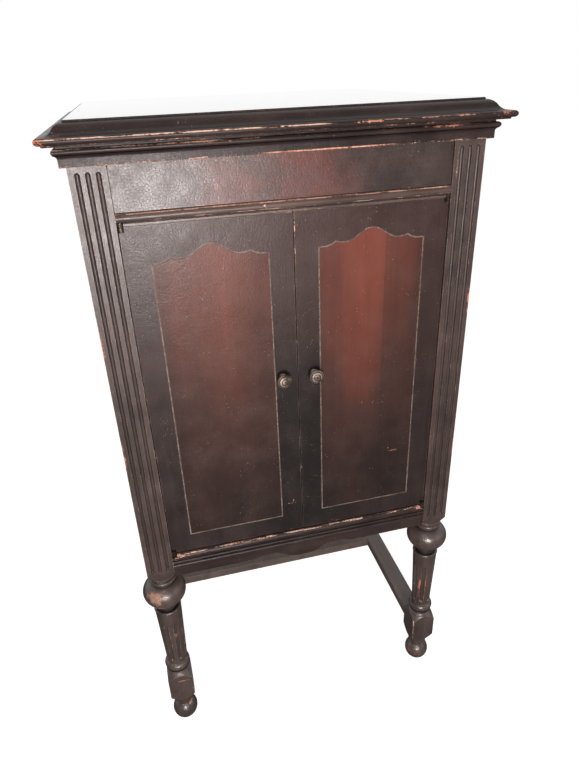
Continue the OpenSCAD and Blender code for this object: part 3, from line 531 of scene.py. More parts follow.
@dataclass(frozen=True)
class AgedWood:
    """Varnished cabinet wood with grain, dirt, scratches and rubbed edges, with a painted highlight along its
    edges and painted shade in its grooves and corners.
    """

    name: str
    grain: Grain = Grain.Z
    deep: Colour = srgb(34, 28, 28)
    warm: Colour = srgb(58, 45, 42)
    bare: Colour = srgb(196, 112, 80)
    pale: Colour = srgb(232, 208, 186)
    rubbed: float = 0.5
    # How dark grooves and corners get: painted shade, with grime
    grime_and_shade: float = 0.85
    gloss: float = 0.34
    shine: float = 0.3
    seed: float = 0.0
    veil: float = 0.35
    # Strength of the painted highlight along edges
    lit_edges: float = 1.0
    lines: tuple[RubbedLine, ...] = ()
    spots: tuple[WornSpot, ...] = ()

    def along(self, sheet: MaterialSheet, across: float, length: float, seed: float = 0.0) -> Value:
        """A place that is stretched along the grain.

        Args:
            sheet: The material's sheet.
            across: Scale across the grain.
            length: Scale along the grain.
            seed: Shift of the pattern.

        Returns:
            The vector.
        """
        scale = stretched(self.grain, across, length)
        return sheet.place(scale, (self.seed + seed, self.seed * 1.7, seed))

    def figure(self, sheet: MaterialSheet) -> bpy.types.NodeSocket:
        """Colour of the varnished wood before wear.

        Args:
            sheet: The material's sheet.

        Returns:
            The colour.
        """
        ribbon = sheet.noise(self.along(sheet, 46.0, 2.2, 3.0), 1.0, 3.0, 0.6, 0.6)
        fine = sheet.noise(self.along(sheet, 420.0, 14.0, 5.0), 1.0, 3.0, 0.6)
        cloud = sheet.noise(sheet.place(shift=(self.seed, 0.0, 2.0)), 9.0, 4.0, 0.6)
        tone = ribbon * 0.4 + fine * 0.2 + cloud * 0.4
        return sheet.ramp(tone, [(0.36, self.deep), (0.64, self.warm)])

    def rubbed_lines(self, sheet: MaterialSheet, broken: Value) -> tuple[Value | None, Value | None]:
        """Wear along the named lines.

        Args:
            sheet: The material's sheet.
            broken: Noise that breaks the lines.

        Returns:
            How worn the place is, and how much of that is pale, or nothing without lines.
        """
        if not self.lines:
            return None, None
        across, _, height = sheet.axes()
        streak = sheet.noise(self.along(sheet, 420.0, 34.0, 7.0), 1.0, 5.0, 0.72) * 0.6 + broken * 0.4
        wavy = sheet.noise(self.along(sheet, 30.0, 9.0, 8.0), 1.0, 2.0, 0.5) - 0.5
        worn, pale = None, None
        for line in self.lines:
            band = (height + wavy * 0.0010 - line.height).absolute().fade(line.width, line.width * 0.35)
            span = across.fade(line.start, line.start + 0.03) * across.fade(line.end, line.end - 0.03)
            here = band * span * streak.fade(0.57 - 0.12 * line.amount, 0.61 - 0.11 * line.amount)
            worn = here if worn is None else worn.most(here)
            pale = here * line.pale if pale is None else pale.most(here * line.pale)
        return worn, pale

    def worn_spots(self, sheet: MaterialSheet, broken: Value) -> tuple[Value | None, Value | None]:
        """Wear at the named spots.

        Args:
            sheet: The material's sheet.
            broken: Noise that breaks the spots' outlines.

        Returns:
            How worn the place is, and how much of that is pale, or nothing without spots.
        """
        worn, pale = None, None
        for spot in self.spots:
            scale = tuple(1.0 / size for size in spot.reach)
            shift = tuple(-place / size for place, size in zip(spot.middle, spot.reach))
            near = sheet.place(scale, shift)
            away = sheet.value("ShaderNodeVectorMath", {"operation": "LENGTH"}, {0: near}, "Value")
            here = (away * 0.8 + (broken - 0.44) * 7.0).fade(0.95, 0.6) * spot.amount
            worn = here if worn is None else worn.most(here)
            pale = here * spot.pale if pale is None else pale.most(here * spot.pale)
        return worn, pale

    def make(self) -> bpy.types.Material:
        """Builds the material.

        Returns:
            The material.
        """
        sheet = MaterialSheet(self.name)
        colour = self.figure(sheet)
        open_air = sheet.openness(0.012)
        turn = sheet.edges(0.0022)
        edge = turn.fade(0.03, 0.2) * open_air.fade(0.5, 0.8)
        plain = sheet.place(shift=(self.seed * 2.0, 1.0, self.seed))
        patches = sheet.noise(plain, 38.0, 5.0, 0.62)
        specks = sheet.noise(plain, 320.0, 3.0, 0.6)
        grimy = sheet.noise(plain, 17.0, 4.0, 0.6)
        broken = patches * 0.55 + specks * 0.45
        wear = edge * broken.fade(0.64 - 0.16 * self.rubbed, 0.68 - 0.13 * self.rubbed)
        pale = wear * specks.fade(0.44, 0.6) * 0.7
        for worn, light in (self.rubbed_lines(sheet, broken), self.worn_spots(sheet, broken)):
            if worn is not None:
                wear = wear.most(worn)
                pale = pale.most(light)
        scratch = sheet.noise(self.along(sheet, 60.0, 900.0, 9.0), 1.0, 2.0, 0.5).fade(0.735, 0.76)
        strewn = sheet.noise(plain, 24.0, 2.0, 0.5).fade(0.50, 0.62)
        flecks = sheet.cells(plain, 200.0).fade(0.09, 0.06) * strewn
        hidden = (1.0 - open_air).fade(0.06, 0.5)
        haze = (grimy * 0.6 + specks * 0.4).fade(0.42, 0.68)
        colour = sheet.blend(haze * self.veil * 0.4, colour, DUST)
        # Painted highlight along the convex edges, broken up by the dust haze
        colour = sheet.blend(edge * (haze * 0.45 + 0.2) * self.lit_edges, colour, PAINTED_EDGE_HIGHLIGHT)
        # Painted shade, with grime, in the grooves and corners that the piece hides
        colour = sheet.blend(hidden * self.grime_and_shade, colour, GRIME_AND_SHADE)
        colour = sheet.blend(scratch * 0.3, colour, SCRATCH)
        colour = sheet.blend(flecks * 0.8, colour, PALE_FLECK)
        colour = sheet.blend(wear, colour, self.bare)
        colour = sheet.blend(pale * pale * 0.8 + pale * specks.fade(0.42, 0.54) * 0.6, colour, self.pale)
        crackle = sheet.cells(plain, 230.0, "DISTANCE_TO_EDGE").fade(0.0, 0.16)
        pores = sheet.noise(self.along(sheet, 900.0, 30.0, 1.0), 1.0, 2.0, 0.5)
        rough = self.gloss + (patches - 0.5) * 0.22 + wear * 0.3 + haze * 0.1 + hidden * 0.2
        sheet.bump((crackle, 0.00006), (pores, 0.00008), (patches, 0.0005), (1.0 - wear, 0.00025))
        sheet.surface(colour, rough, specular_ior_level=self.shine)
        return sheet.material


@dataclass(frozen=True)
class DoorSurround(AgedWood):
    """Dark outer part of a door's face."""

    def figure(self, sheet: MaterialSheet) -> bpy.types.NodeSocket:
        """Dark veneer with painted light that makes it a little lighter and redder towards the top, and near
        black low down towards the middle.

        Args:
            sheet: The material's sheet.

        Returns:
            The colour.
        """
        base = super().figure(sheet)
        across, _, height = sheet.axes()
        aside = across.absolute()
        # Painted light: lighter and redder towards the top
        top = height.fade(0.6, 1.07) * (1.0 - aside.fade(0.06, 0.25) * 0.3)
        # Near black low down towards the middle, where the doors meet
        dark_low_middle = height.fade(0.98, 0.74) * aside.fade(0.16, 0.03)
        return sheet.blend(dark_low_middle * 0.75, sheet.blend(top * 0.4, base, srgb(84, 56, 50)), srgb(24, 23, 22))


@dataclass(frozen=True)
class FriezeVeneer(AgedWood):
    """Veneer of the board above the doors, redder in its middle."""

    def figure(self, sheet: MaterialSheet) -> bpy.types.NodeSocket:
        """Mottled dark veneer with a red middle.

        Args:
            sheet: The material's sheet.

        Returns:
            The colour.
        """
        base = super().figure(sheet)
        across, _, _ = sheet.axes()
        cloud = sheet.noise(sheet.place(shift=(self.seed, 3.0, 1.0)), 16.0, 5.0, 0.65)
        middle = across.fade(-0.20, -0.06) * across.fade(0.14, 0.05)
        return sheet.blend(middle * cloud.fade(0.26, 0.60) * 0.75, base, srgb(104, 46, 34))


@dataclass(frozen=True)
class DoorField(AgedWood):
    """Red veneer inside the inlaid line, with painted light that makes it brightest at the top."""

    middle_x: float = FIELD_X
    # Colour where the painted light is brightest, at the top
    glow: Colour = srgb(108, 62, 50)
    joint_x: float | None = None

    def figure(self, sheet: MaterialSheet) -> bpy.types.NodeSocket:
        """Ribbon-striped veneer that fades to near black at its bottom, as painted shade, and at its sides.

        Args:
            sheet: The material's sheet.

        Returns:
            The colour.
        """
        across, _, height = sheet.axes()
        ribbon = sheet.noise(self.along(sheet, 42.0, 1.6, 3.0), 1.0, 2.0, 0.5, 0.4)
        fine = sheet.noise(self.along(sheet, 420.0, 10.0, 5.0), 1.0, 3.0, 0.6)
        cloud = sheet.noise(sheet.place((1.0, 1.0, 0.55), shift=(self.seed, 0.0, 2.0)), 9.0, 6.0, 0.68)
        off = (across - self.middle_x).absolute()
        sides = off.fade(0.125, 0.02)
        # Painted light: lighter towards the top and darker towards the bottom, as the lamp's light falls off
        lit_towards_top = height.fade(0.50, 1.06)
        streak = off.fade(0.045, 0.01) * height.fade(0.56, 0.72) * 0.03
        lit = (lit_towards_top * 0.78 + 0.06) * (sides * 0.55 + 0.45) + streak + (cloud - 0.5) * 0.45
        striped = lit * (ribbon.fade(0.2, 0.8) * 0.26 + 0.86) + (fine - 0.5) * 0.12
        if self.joint_x is not None:
            striped = striped * (1.0 - across.over(self.joint_x) * 0.22)
        return sheet.ramp(striped, [(0.0, srgb(34, 28, 27)), (0.35, srgb(66, 44, 39)), (0.85, self.glow)])


@dataclass(frozen=True)
class LidTop(AgedWood):
    """The lid's flat top, whose smooth varnish mirrors the room behind."""

    def make(self) -> bpy.types.Material:
        """Builds the material.

        Returns:
            The material.
        """
        sheet = MaterialSheet(self.name)
        colour = self.figure(sheet)
        clouds = sheet.noise(sheet.place(), 12.0, 4.0, 0.6)
        colour = sheet.blend(clouds.fade(0.45, 0.7) * 0.4, colour, srgb(120, 104, 98))
        sheet.bump((clouds, 0.00002))
        sheet.surface(colour, 0.04 + clouds * 0.06, specular_ior_level=0.5, coat_weight=1.0)
        return sheet.material


@dataclass(frozen=True)
class InlayLine:
    """Pale line let into the doors, dulled in places."""

    name: str = "inlay_line"

    def make(self) -> bpy.types.Material:
        """Builds the material.

        Returns:
            The material.
        """
        sheet = MaterialSheet(self.name)
        plain = sheet.place()
        dulled = sheet.noise(plain, 30.0, 4.0, 0.6)
        tint = sheet.noise(plain, 180.0, 3.0, 0.6)
        _, _, height = sheet.axes()
        low = height.fade(0.60, 0.515)
        pale = sheet.blend(tint.fade(0.4, 0.6), srgb(96, 82, 74), srgb(140, 124, 113))
        pale = sheet.blend(low * 0.45, pale, srgb(160, 150, 140))
        colour = sheet.blend(dulled.fade(0.44, 0.62) * 0.8, pale, srgb(92, 72, 64))
        sheet.bump((tint, 0.0002))
        sheet.surface(colour, 0.6)
        return sheet.material


@dataclass(frozen=True)
class AgedMetal:
    """Tarnished or oiled metal with scuffs."""

    name: str
    bright: Colour
    dull: Colour
    tarnish: float = 0.5
    roughness: float = 0.35
    metallic: float = 1.0
    brushed: Grain | None = None
    pit_reach: float = 0.004

    def grooves(self, sheet: MaterialSheet) -> Value | None:
        """Dirt that lies in turned grooves.

        Args:
            sheet: The material's sheet.

        Returns:
            How dirty the place is, or nothing for a plain piece.
        """
        return None

    def make(self) -> bpy.types.Material:
        """Builds the material.

        Returns:
            The material.
        """
        sheet = MaterialSheet(self.name)
        plain = sheet.place()
        clouds = sheet.noise(plain, 55.0, 5.0, 0.62)
        specks = sheet.noise(plain, 700.0, 3.0, 0.6)
        open_air = sheet.openness(self.pit_reach)
        edge = sheet.edges(0.0008).fade(0.04, 0.3)
        dulled = (clouds * 0.7 + specks * 0.3).fade(0.56 - 0.16 * self.tarnish, 0.60 - 0.02 * self.tarnish)
        dirt = (1.0 - open_air).fade(0.15, 0.7)
        groove = self.grooves(sheet)
        if groove is not None:
            dirt = dirt.most(groove)
        share = (dulled.most(dirt) - edge * 0.6).most(0.0)
        colour = sheet.blend(share, self.bright, self.dull)
        rough = self.roughness + share * 0.3 + (specks - 0.5) * 0.15
        if self.brushed is not None:
            lines = sheet.noise(sheet.place(stretched(self.brushed, 2400.0, 30.0)), 1.0, 2.0, 0.5)
            sheet.bump((lines, 0.00003), (clouds, 0.0001))
        else:
            sheet.bump((specks, 0.00004), (clouds, 0.00012))
        sheet.surface(colour, rough, metallic=self.metallic)
        return sheet.material


@dataclass(frozen=True)
class KnobMetal(AgedMetal):
    """Metal of the door knobs, with dirt in the rings of their faces."""

    off_middle: float = 0.027
    height: float = 0.8075
    ring_pitch: float = 0.0042
    rim_depth: float = -0.3098
    face_depth: float = -0.3104

    def grooves(self, sheet: MaterialSheet) -> Value | None:
        """Rings round the knob's middle.

        Args:
            sheet: The material's sheet.

        Returns:
            How dirty the place is.
        """
        across, depth, height = sheet.axes()
        beside = across.absolute() - self.off_middle
        above = height - self.height
        away = (beside * beside + above * above) ** 0.5
        rings = (away * (2.0 * math.pi / self.ring_pitch)).sine().fade(0.0, 0.8)
        return rings * depth.fade(self.rim_depth, self.face_depth)


@dataclass(frozen=True)
class Cloth:
    """Woven or felted cloth."""

    name: str
    light: Colour
    dark: Colour
    pitch: float = 0.0011
    felted: bool = False
    flat_axes: tuple[int, int] = (0, 2)

    def make(self) -> bpy.types.Material:
        """Builds the material.

        Returns:
            The material.
        """
        sheet = MaterialSheet(self.name)
        plain = sheet.place()
        fluff = sheet.noise(plain, 900.0, 4.0, 0.7)
        stain = sheet.noise(plain, 18.0, 4.0, 0.6)
        if self.felted:
            height = sheet.noise(plain, 1500.0, 4.0, 0.7)
            weave = height
        else:
            axes = sheet.axes()
            wave = 2.0 * math.pi / self.pitch
            warp = (axes[self.flat_axes[0]] * wave).sine()
            weft = (axes[self.flat_axes[1]] * wave).sine()
            weave = warp * weft * 0.5 + 0.5
            height = weave * 0.8 + fluff * 0.2
        colour = sheet.blend((weave * 0.6 + fluff * 0.4).fade(0.2, 0.8), self.dark, self.light)
        colour = sheet.blend(stain.fade(0.5, 0.7) * 0.4, colour, self.dark)
        sheet.bump((height, 0.0003))
        sheet.surface(colour, 0.92, sheen_weight=0.25)
        return sheet.material


@dataclass(frozen=True)
class ClearSheet:
    """Thin mica sheet with faint flaws."""

    name: str = "mica_sheet"

    def make(self) -> bpy.types.Material:
        """Builds the material.

        Returns:
            The material.
        """
        sheet = MaterialSheet(self.name)
        flaws = sheet.noise(sheet.place(), 120.0, 4.0, 0.6)
        colour = sheet.blend(flaws.fade(0.4, 0.65), srgb(222, 212, 190), srgb(188, 172, 142))
        sheet.bump((flaws, 0.00008))
        sheet.surface(colour, 0.16 + flaws * 0.15, coat_weight=0.5)
        return sheet.material


# Worn lines and places, where the photograph shows them
MOULDING_WEAR = (
    RubbedLine(LID_Z0 + 0.0092, 0.0012, -0.34, 0.06, 0.75),
    RubbedLine(LID_Z0 + 0.0096, 0.0009, 0.02, 0.34, 0.5, 0.4),
    RubbedLine(LID_Z0 + 0.0018, 0.0010, -0.34, 0.34, 0.6, 0.2),
    RubbedLine(POST_TOP + 0.0222, 0.0011, -0.33, -0.02, 0.75, 0.6),
    RubbedLine(POST_TOP + 0.0222, 0.0009, -0.02, 0.33, 0.4, 0.2),
    RubbedLine(POST_TOP + 0.0014, 0.0012, -0.32, -0.02, 0.7, 0.5),
    RubbedLine(POST_TOP + 0.0014, 0.0014, -0.05, 0.16, 0.5, 1.1),
    RubbedLine(POST_TOP + 0.0014, 0.0009, 0.14, 0.31, 0.6, 0.3),
    RubbedLine(RAIL_TOP - 0.0012, 0.0009, -0.26, 0.26, 0.6, 1.1),
    RubbedLine(RAIL_TOP - 0.0105, 0.0008, -0.26, 0.26, 0.8, 0.4),
    RubbedLine(SILL_TOP - 0.0014, 0.0013, -0.26, 0.26, 0.75, 0.6),
    RubbedLine(SILL_TOP - 0.0130, 0.0008, -0.26, 0.26, 0.85, 0.5),
    RubbedLine(SILL_TOP - 0.0225, 0.0008, -0.26, 0.26, 0.7, 0.4),
)
CORNER_WEAR = (
    WornSpot((-0.330, -0.327, 1.189), (0.020, 0.024, 0.012)),
    WornSpot((0.313, -0.328, 1.192), (0.012, 0.010, 0.006), 0.3),
    WornSpot((0.107, -0.327, 1.191), (0.020, 0.010, 0.002), 0.5, 0.9),
    WornSpot((0.232, -0.311, 1.178), (0.024, 0.008, 0.003), 0.5, 0.95),
    WornSpot((0.240, -0.327, 1.192), (0.014, 0.010, 0.0014), 0.7, 0.7),
    WornSpot((0.004, -0.326, 1.189), (0.006, 0.006, 0.0014), 0.9),
    WornSpot((-0.043, -0.322, 1.2036), (0.0030, 0.006, 0.0018), 0.9),
    WornSpot((-0.120, -0.311, 1.178), (0.030, 0.008, 0.0024), 0.6, 0.7),
    WornSpot((-0.0470, -0.301, 1.0900), (0.0040, 0.006, 0.0010), 0.9),
    WornSpot((-0.0430, -0.301, 1.0870), (0.0022, 0.006, 0.0016), 0.9),
    WornSpot((-0.0400, -0.301, 1.0835), (0.0020, 0.006, 0.0016), 0.9),
    WornSpot((-0.0150, -0.300, 1.0800), (0.0260, 0.006, 0.0008), 0.9, 0.9),
    WornSpot((-0.120, -0.303, 0.478), (0.050, 0.008, 0.003), 0.3, 0.8),
    WornSpot((-0.230, -0.303, 0.474), (0.018, 0.010, 0.004), 0.9, 0.7),
    WornSpot((0.238, -0.303, 0.476), (0.010, 0.010, 0.005), 0.8, 0.6),
)
POST_WEAR = (
    WornSpot((-0.2896, FRONT_Y, 1.118), (0.0014, 0.003, 0.009), 0.9, 0.8),
    WornSpot((-0.2965, FRONT_Y, 1.1085), (0.0014, 0.003, 0.009), 0.9, 0.8),
    WornSpot((-0.300, FRONT_Y, 0.915), (0.004, 0.004, 0.036), 0.1, 0.9),
    WornSpot((-0.300, FRONT_Y, 0.690), (0.002, 0.002, 0.040), 0.5, 0.8),
    WornSpot((0.300, FRONT_Y, 0.912), (0.003, 0.003, 0.024), 0.2, 0.9),
    WornSpot((0.300, FRONT_Y, 0.640), (0.002, 0.002, 0.060), 0.6, 0.8),
    WornSpot((0.256, FRONT_Y, 1.120), (0.0016, 0.003, 0.020), 0.8, 0.7),
)
DOOR_WEAR = (
    WornSpot((0.0016, FACE_Y, 1.030), (0.0009, 0.003, 0.060), 0.9, 0.8),
    WornSpot((-0.0060, FACE_Y, 1.0735), (0.012, 0.003, 0.0007), 0.8, 0.8),
    WornSpot((-0.0245, FACE_Y, 0.5425), (0.010, 0.003, 0.0011), 0.9, 0.8),
    WornSpot((-0.0165, FACE_Y, 0.547), (0.0010, 0.003, 0.005), 0.9, 0.8),
)
FRIEZE_WEAR = (
    WornSpot((-0.107, FACE_Y, 1.1164), (0.0010, 0.003, 0.007), 0.8, 0.5),
    WornSpot((-0.066, FACE_Y, 1.1173), (0.0010, 0.003, 0.007), 0.8, 0.5),
)
FIELD_WEAR = (
    WornSpot((0.1678, FACE_Y, 0.6273), (0.0014, 0.003, 0.006), 0.9, 0.8),
    WornSpot((0.1760, FACE_Y, 0.6211), (0.0090, 0.003, 0.0011), 0.8, 0.6),
)
LEG_WEAR = (
    WornSpot((-0.284, -0.306, 0.360), (0.024, 0.014, 0.005), 0.45, 0.75),
    WornSpot((-0.290, -0.306, 0.386), (0.016, 0.020, 0.015), 0.95, 0.36),
    WornSpot((-0.270, -0.312, 0.352), (0.018, 0.014, 0.004), 0.8, 0.5),
    WornSpot((0.290, -0.300, 0.366), (0.016, 0.020, 0.006), 0.7, 0.3),
    WornSpot((0.250, -0.280, 0.030), (0.020, 0.026, 0.010), 0.5, 0.35),
    WornSpot((-0.272, -0.297, 0.150), (0.016, 0.008, 0.002), 0.9, 0.6),
    WornSpot((-0.262, -0.300, 0.133), (0.020, 0.006, 0.002), 0.9, 0.5),
    WornSpot((-0.255, -0.285, 0.257), (0.002, 0.008, 0.014), 0.2, 0.9),
    WornSpot((-0.268, -0.294, 0.262), (0.005, 0.010, 0.010), 0.6, 0.5),
    WornSpot((0.2605, -0.290, 0.240), (0.002, 0.008, 0.040), 0.1, 0.85),
    WornSpot((0.272, -0.294, 0.245), (0.0012, 0.008, 0.040), 0.2, 0.6),
    WornSpot((0.250, -0.297, 0.115), (0.0016, 0.006, 0.026), 0.9, 0.8),
    WornSpot((-0.252, -0.297, 0.105), (0.008, 0.006, 0.003), 0.9, 0.8),
    WornSpot((-0.255, -0.292, 0.045), (0.014, 0.020, 0.003), 0.9, 0.6),
)


class Finishes:
    """The finishes of all pieces, made once each."""

    def __init__(self) -> None:
        """Makes the materials."""
        woods = (
            AgedWood(
                "dark_upright",
                Grain.Z,
                srgb(46, 38, 37),
                srgb(78, 63, 59),
                rubbed=0.6,
                shine=0.6,
                seed=1.0,
                veil=0.8,
                # Strong painted highlight along the edges of the flutes
                lit_edges=1.5,
                spots=POST_WEAR,
            ),
            AgedWood(
                "dark_across", Grain.X, rubbed=0.7, seed=2.0, lines=MOULDING_WEAR, spots=CORNER_WEAR
            ),
            AgedWood(
                "side_veneer", Grain.Z, srgb(46, 33, 30), srgb(88, 58, 48), rubbed=0.4, seed=4.0
            ),
            FriezeVeneer(
                "frieze_veneer",
                Grain.X,
                srgb(40, 32, 31),
                srgb(66, 49, 45),
                rubbed=0.35,
                shine=0.65,
                seed=5.0,
                spots=FRIEZE_WEAR,
            ),
            DoorSurround(
                "door_surround",
                Grain.Z,
                srgb(32, 27, 27),
                srgb(50, 40, 38),
                rubbed=0.4,
                shine=0.4,
                seed=6.0,
                veil=0.2,
                spots=DOOR_WEAR,
            ),
            DoorField("left_field", Grain.Z, rubbed=0.3, seed=7.0, middle_x=-FIELD_X, veil=0.3),
            DoorField(
                "right_field",
                Grain.Z,
                rubbed=0.3,
                seed=8.0,
                glow=srgb(119, 62, 49),
                joint_x=0.147,
                veil=0.2,
                spots=FIELD_WEAR,
            ),
            LidTop("lid_top", Grain.X, seed=12.0),
            AgedWood(
                "turned_wood",
                Grain.ROUND,
                srgb(48, 40, 39),
                srgb(86, 72, 67),
                rubbed=0.8,
                gloss=0.3,
                shine=0.95,
                seed=9.0,
                veil=0.6,
                spots=LEG_WEAR,
            ),
            # Lighter than dark_across: painted light for the glare that the rail above the doors catches,
            # with more dust
            AgedWood(
                "rail_wood",
                Grain.X,
                srgb(58, 47, 44),
                srgb(98, 78, 70),
                rubbed=0.7,
                shine=0.55,
                seed=14.0,
                veil=0.6,
                lines=MOULDING_WEAR,
                spots=CORNER_WEAR,
            ),
            AgedWood(
                "dusty_wood",
                Grain.Y,
                srgb(74, 65, 61),
                srgb(112, 100, 94),
                rubbed=0.6,
                shine=0.5,
                seed=13.0,
                veil=0.9,
            ),
            AgedWood(
                "board_wood",
                Grain.X,
                srgb(96, 62, 42),
                srgb(150, 104, 70),
                rubbed=0.3,
                gloss=0.6,
                seed=10.0,
                veil=0.1,
            ),
            AgedWood(
                "deck_wood", Grain.X, srgb(76, 42, 31), srgb(122, 68, 47), rubbed=0.3, seed=11.0, veil=0.1
            ),
        )
        metals = (
            AgedMetal("brass", srgb(176, 148, 96), srgb(92, 76, 56), 0.7, 0.38),
            AgedMetal("old_screw", srgb(134, 124, 108), srgb(70, 62, 52), 0.7, 0.42),
            AgedMetal("dark_brass", srgb(104, 92, 82), srgb(58, 50, 46), 0.8, 0.5),
            KnobMetal(
                "knob_metal", srgb(168, 154, 142), srgb(82, 72, 65), 0.5, 0.52, 0.85, pit_reach=0.0016
            ),
            AgedMetal("nickel", srgb(206, 200, 190), srgb(150, 140, 124), 0.3, 0.26),
            AgedMetal("steel", srgb(150, 150, 150), srgb(88, 84, 80), 0.5, 0.4, 1.0, Grain.X),
        )
        others = (
            InlayLine(),
            Cloth("felt", srgb(78, 104, 70), srgb(46, 66, 44), felted=True),
            Cloth("grille_cloth", srgb(176, 148, 100), srgb(110, 84, 50)),
            ClearSheet(),
        )
        self.made: dict[str, bpy.types.Material] = {
            finish.name: finish.make() for finish in woods + metals + others
        }

    def __getitem__(self, key: str) -> bpy.types.Material:
        """The finished material of that name."""
        return self.made[key]


def dress(obj: bpy.types.Object, *materials: bpy.types.Material) -> None:
    """Gives a piece its materials in slot order.

    Args:
        obj: The piece.
        materials: Its materials.
    """
    obj.data.materials.clear()
    for material in materials:
        obj.data.materials.append(material)


def plain_mesh(obj: bpy.types.Object) -> None:
    """Applies an object's modifiers to its mesh.

    Args:
        obj: The object.
    """
    bpy.context.view_layer.update()
    evaluated = obj.evaluated_get(bpy.context.evaluated_depsgraph_get())
    mesh = bpy.data.meshes.new_from_object(evaluated)
    old = obj.data
    obj.modifiers.clear()
    obj.data = mesh
    bpy.data.meshes.remove(old)


def softened(
    frame: dict, node: str, material: bpy.types.Material, width: float = 0.0009
) -> bpy.types.Object:
    """Replaces a wooden node by a copy with softened edges.

    Args:
        node: The node.
        material: Its finish.
        width: Width of the softened edge.

    Returns:
        The new piece.
    """
    source = frame["nodes"][node]
    mesh = source.data.copy()
    mesh.name = node + "_wood"
    work = bmesh.new()
    work.from_mesh(mesh)
    bmesh.ops.remove_doubles(work, verts=work.verts, dist=WELD)
    bmesh.ops.dissolve_limit(work, angle_limit=FLAT_ANGLE, verts=work.verts, edges=work.edges)
    for face in work.faces:
        face.smooth = True
        face.material_index = 0
    work.to_mesh(mesh)
    work.free()
    piece = bpy.data.objects.new(node + "_wood", mesh)
    bpy.context.scene.collection.objects.link(piece)
    bevel = piece.modifiers.new("soften", "BEVEL")
    bevel.width = width
    bevel.segments = 2
    bevel.limit_method = "ANGLE"
    bevel.angle_limit = EDGE_ANGLE
    bevel.use_clamp_overlap = True
    normals = piece.modifiers.new("even_normals", "WEIGHTED_NORMAL")
    normals.mode = "FACE_AREA"
    normals.weight = 100
    normals.keep_sharp = False
    plain_mesh(piece)
    dress(piece, material)
    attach(piece, body_of(frame)[node])
    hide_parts(node)
    log.info("%s: softened, %d faces", node, len(piece.data.polygons))
    return piece


def body_of(frame: dict) -> dict[str, str]:
    """The body that each node rides on."""
    return {node: body for body, nodes in frame["record"]["behaviour"]["bodies"].items() for node in nodes}


@dataclass
class CaseWork:
    """Posts, panels, rails, cornice and boards of the case."""

    finishes: Finishes
    top_skin: float = 0.0005
    softened_nodes: dict[str, str] = field(
        default_factory=lambda: {
            "front_left_post": "dark_upright",
            "front_right_post": "dark_upright",
            "rear_left_post": "dark_upright",
            "rear_right_post": "dark_upright",
            "left_side_panel": "side_veneer",
            "right_side_panel": "side_veneer",
            "frieze_panel": "frieze_veneer",
            "upper_rail": "rail_wood",
            "base_rail": "dark_across",
            "front_apron": "dark_across",
            "case_cornice": "dark_across",
            "left_stretcher": "dusty_wood",
            "right_stretcher": "dusty_wood",
            "cross_stretcher": "dusty_wood",
            "lid": "dark_across",
        }
    )

    def build(self, frame: dict) -> None:
        """Softens and dresses the woodwork.
        """
        for node, finish in self.softened_nodes.items():
            piece = softened(frame, node, self.finishes[finish])
            if node == "lid":
                self.mirror_top(piece)

    def mirror_top(self, lid: bpy.types.Object) -> None:
        """Gives the lid's flat top its own smooth finish.

        Args:
            lid: The lid.
        """
        lid.data.materials.append(self.finishes["lid_top"])
        for face in lid.data.polygons:
            if face.normal.z > 0.99 and face.center.z > LID_TOP - self.top_skin:
                face.material_index = 1


def slots_of(frame: dict) -> dict[str, str]:
    """The record's material slot of each node."""
    return {part["node"]: part["material_slot"] for part in frame["record"]["subparts"]}


@dataclass
class Legs:
    """The four turned legs."""

    finishes: Finishes
    edge_width: float = 0.0006

    def build(self, frame: dict) -> None:
        """Softens and dresses the legs.
        """
        for node in ("front_left_leg", "front_right_leg", "rear_left_leg", "rear_right_leg"):
            softened(frame, node, self.finishes["turned_wood"], self.edge_width)


@dataclass
class Doors:
    """Both doors with their inlaid lines.

    Attributes:
        finishes: The finishes.
        edge_width: Width of the softened edges.
        panel_half: Half the width inside which the line and the field lie.
        panel_low: Height below which there is neither.
        panel_high: Height above which there is neither.
        skin: Faces no deeper than this are the door's front.
        line_bed: Faces no deeper than this are the bed of the line.
        field_area: Least area of the field's face.
        field_aside: How far the field's middle may lie beside the panel's.
    """

    finishes: Finishes
    edge_width: float = 0.0007
    panel_half: float = 0.0866
    panel_low: float = 0.51
    panel_high: float = 1.05
    skin: float = 0.0003
    line_bed: float = 0.0012
    field_area: float = 0.02
    field_aside: float = 0.02

    def build(self, frame: dict) -> None:
        """Softens the doors and gives field, line and surround their own finish.
        """
        surround = self.finishes["door_surround"]
        for side, sign in (("left", -1.0), ("right", 1.0)):
            door = softened(frame, f"{side}_door", surround, self.edge_width)
            dress(door, surround, self.finishes[f"{side}_field"], self.finishes["inlay_line"])
            for face in door.data.polygons:
                face.material_index = self.finish_of(face, sign * FIELD_X)

    def finish_of(self, face: bpy.types.MeshPolygon, panel_x: float) -> int:
        """Which of the door's three finishes a face has.

        Args:
            face: The face.
            panel_x: Middle of the door's inlaid panel.

        Returns:
            0 for the surround, 1 for the field and 2 for the line.
        """
        middle = face.center
        aside = abs(middle.x - panel_x)
        if aside > self.panel_half or not self.panel_low < middle.z < self.panel_high:
            return 0
        if FACE_Y + self.skin < middle.y < FACE_Y + self.line_bed:
            return 2
        if middle.y <= FACE_Y + self.skin and face.area > self.field_area and aside < self.field_aside:
            return 1
        return 0


